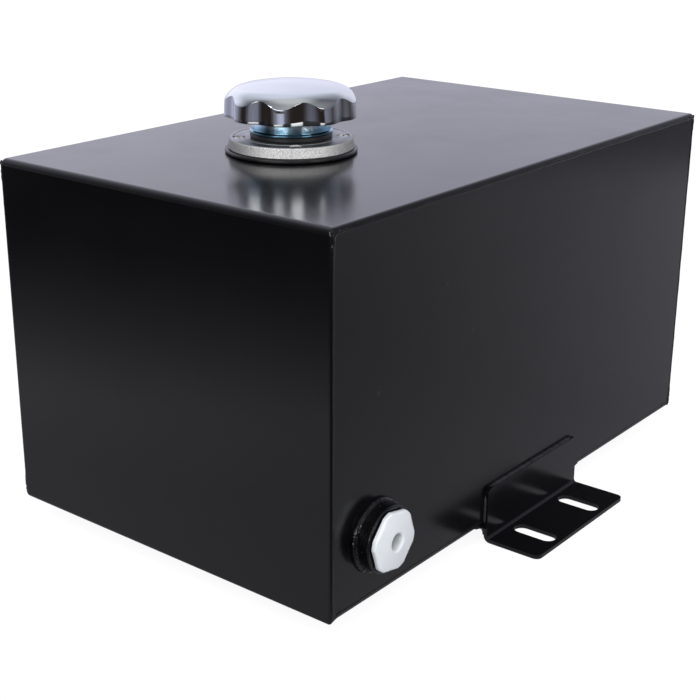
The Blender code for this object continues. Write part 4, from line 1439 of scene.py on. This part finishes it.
def studio_floor():
    build = bmesh.new()
    bmesh.ops.create_grid(build, x_segments=8, y_segments=8, size=6.0)
    mesh = bpy.data.meshes.new("studio_floor")
    build.to_mesh(mesh)
    build.free()
    mesh.materials.append(floor_material())
    floor = new_object("studio_floor", mesh)
    floor.location.z = -0.0004
    floor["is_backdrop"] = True


def world_light():
    """Soft light by direction: bright lilac ahead, a grey ceiling, and a dim room with two
    windows behind the viewer. Elevations run from 0 at the horizon to 1 overhead."""
    world = bpy.data.worlds.new("studio")
    bpy.context.scene.world = world
    world.use_nodes = True
    nodes = Nodes(world.node_tree, "ShaderNodeOutputWorld")
    x, y, z = nodes.split(nodes.add("ShaderNodeTexCoord").outputs["Generated"])
    compass = nodes.compass(x, y)
    elevation = nodes.maths("DIVIDE", nodes.maths("ARCSINE", z), pi / 2)

    def above(low, high, out=(0.0, 1.0)):
        return nodes.span(elevation, between=(low, high), out=out, smooth=True)

    low, middle, high = (nodes.ramp(compass, r) for r in (LOW_RING, MIDDLE_RING, HIGH_RING))
    colour = nodes.mix(above(0.02, 0.10), low, middle)
    colour = nodes.mix(above(0.28, 0.48), colour, high)
    # a ramp holds 0 to 1, so the windows are scaled down for it and up again after
    band = nodes.maths("MULTIPLY", above(0.10, 0.14), above(0.195, 0.235, out=(1.0, 0.0)))
    lamps = nodes.ramp(compass, [(at, level / 10) for at, level in LAMP_RING])
    lamps = nodes.multiply(lamps, LAMP_COLOUR)
    from_ahead = nodes.maths("ABSOLUTE", nodes.maths("SUBTRACT", compass, 0.5))
    behind = nodes.maths("GREATER_THAN", from_ahead, 0.33)
    colour = nodes.mix(nodes.maths("MULTIPLY", band, behind), colour, lamps)
    colour = nodes.mix(above(0.66, 0.92), colour, ZENITH)
    background = nodes.add("ShaderNodeBackground", {"Color": colour})
    nodes.put(nodes.surface, background.outputs[0])


def softbox(name, place, target, size, power, colour):
    data = bpy.data.lights.new(name, "AREA")
    data.shape, data.energy, data.color = "RECTANGLE", power, colour
    data.size, data.size_y = size
    lamp = new_object(name, data)
    lamp.location = place
    lamp.rotation_mode = "QUATERNION"
    lamp.rotation_quaternion = (Vector(target) - Vector(place)).to_track_quat("-Z", "Y")
    return lamp


studio_floor()
world_light()
front = softbox("box_front", place=(-1.10, -1.60, 1.20), target=(-0.05, -0.05, 0.1),
                size=(0.9, 0.6), power=40.0, colour=(1.0, 1.0, 1.0))
front.visible_glossy = False
softbox("box_left", place=(-1.9, 0.35, 1.7), target=(-0.05, 0.0, 0.2),
        size=(0.5, 0.9), power=7.0, colour=(1.0, 0.99, 0.98))

view = bpy.context.scene.view_settings
view.view_transform, view.look, view.exposure, view.gamma = "Standard", "None", 0.0, 1.0
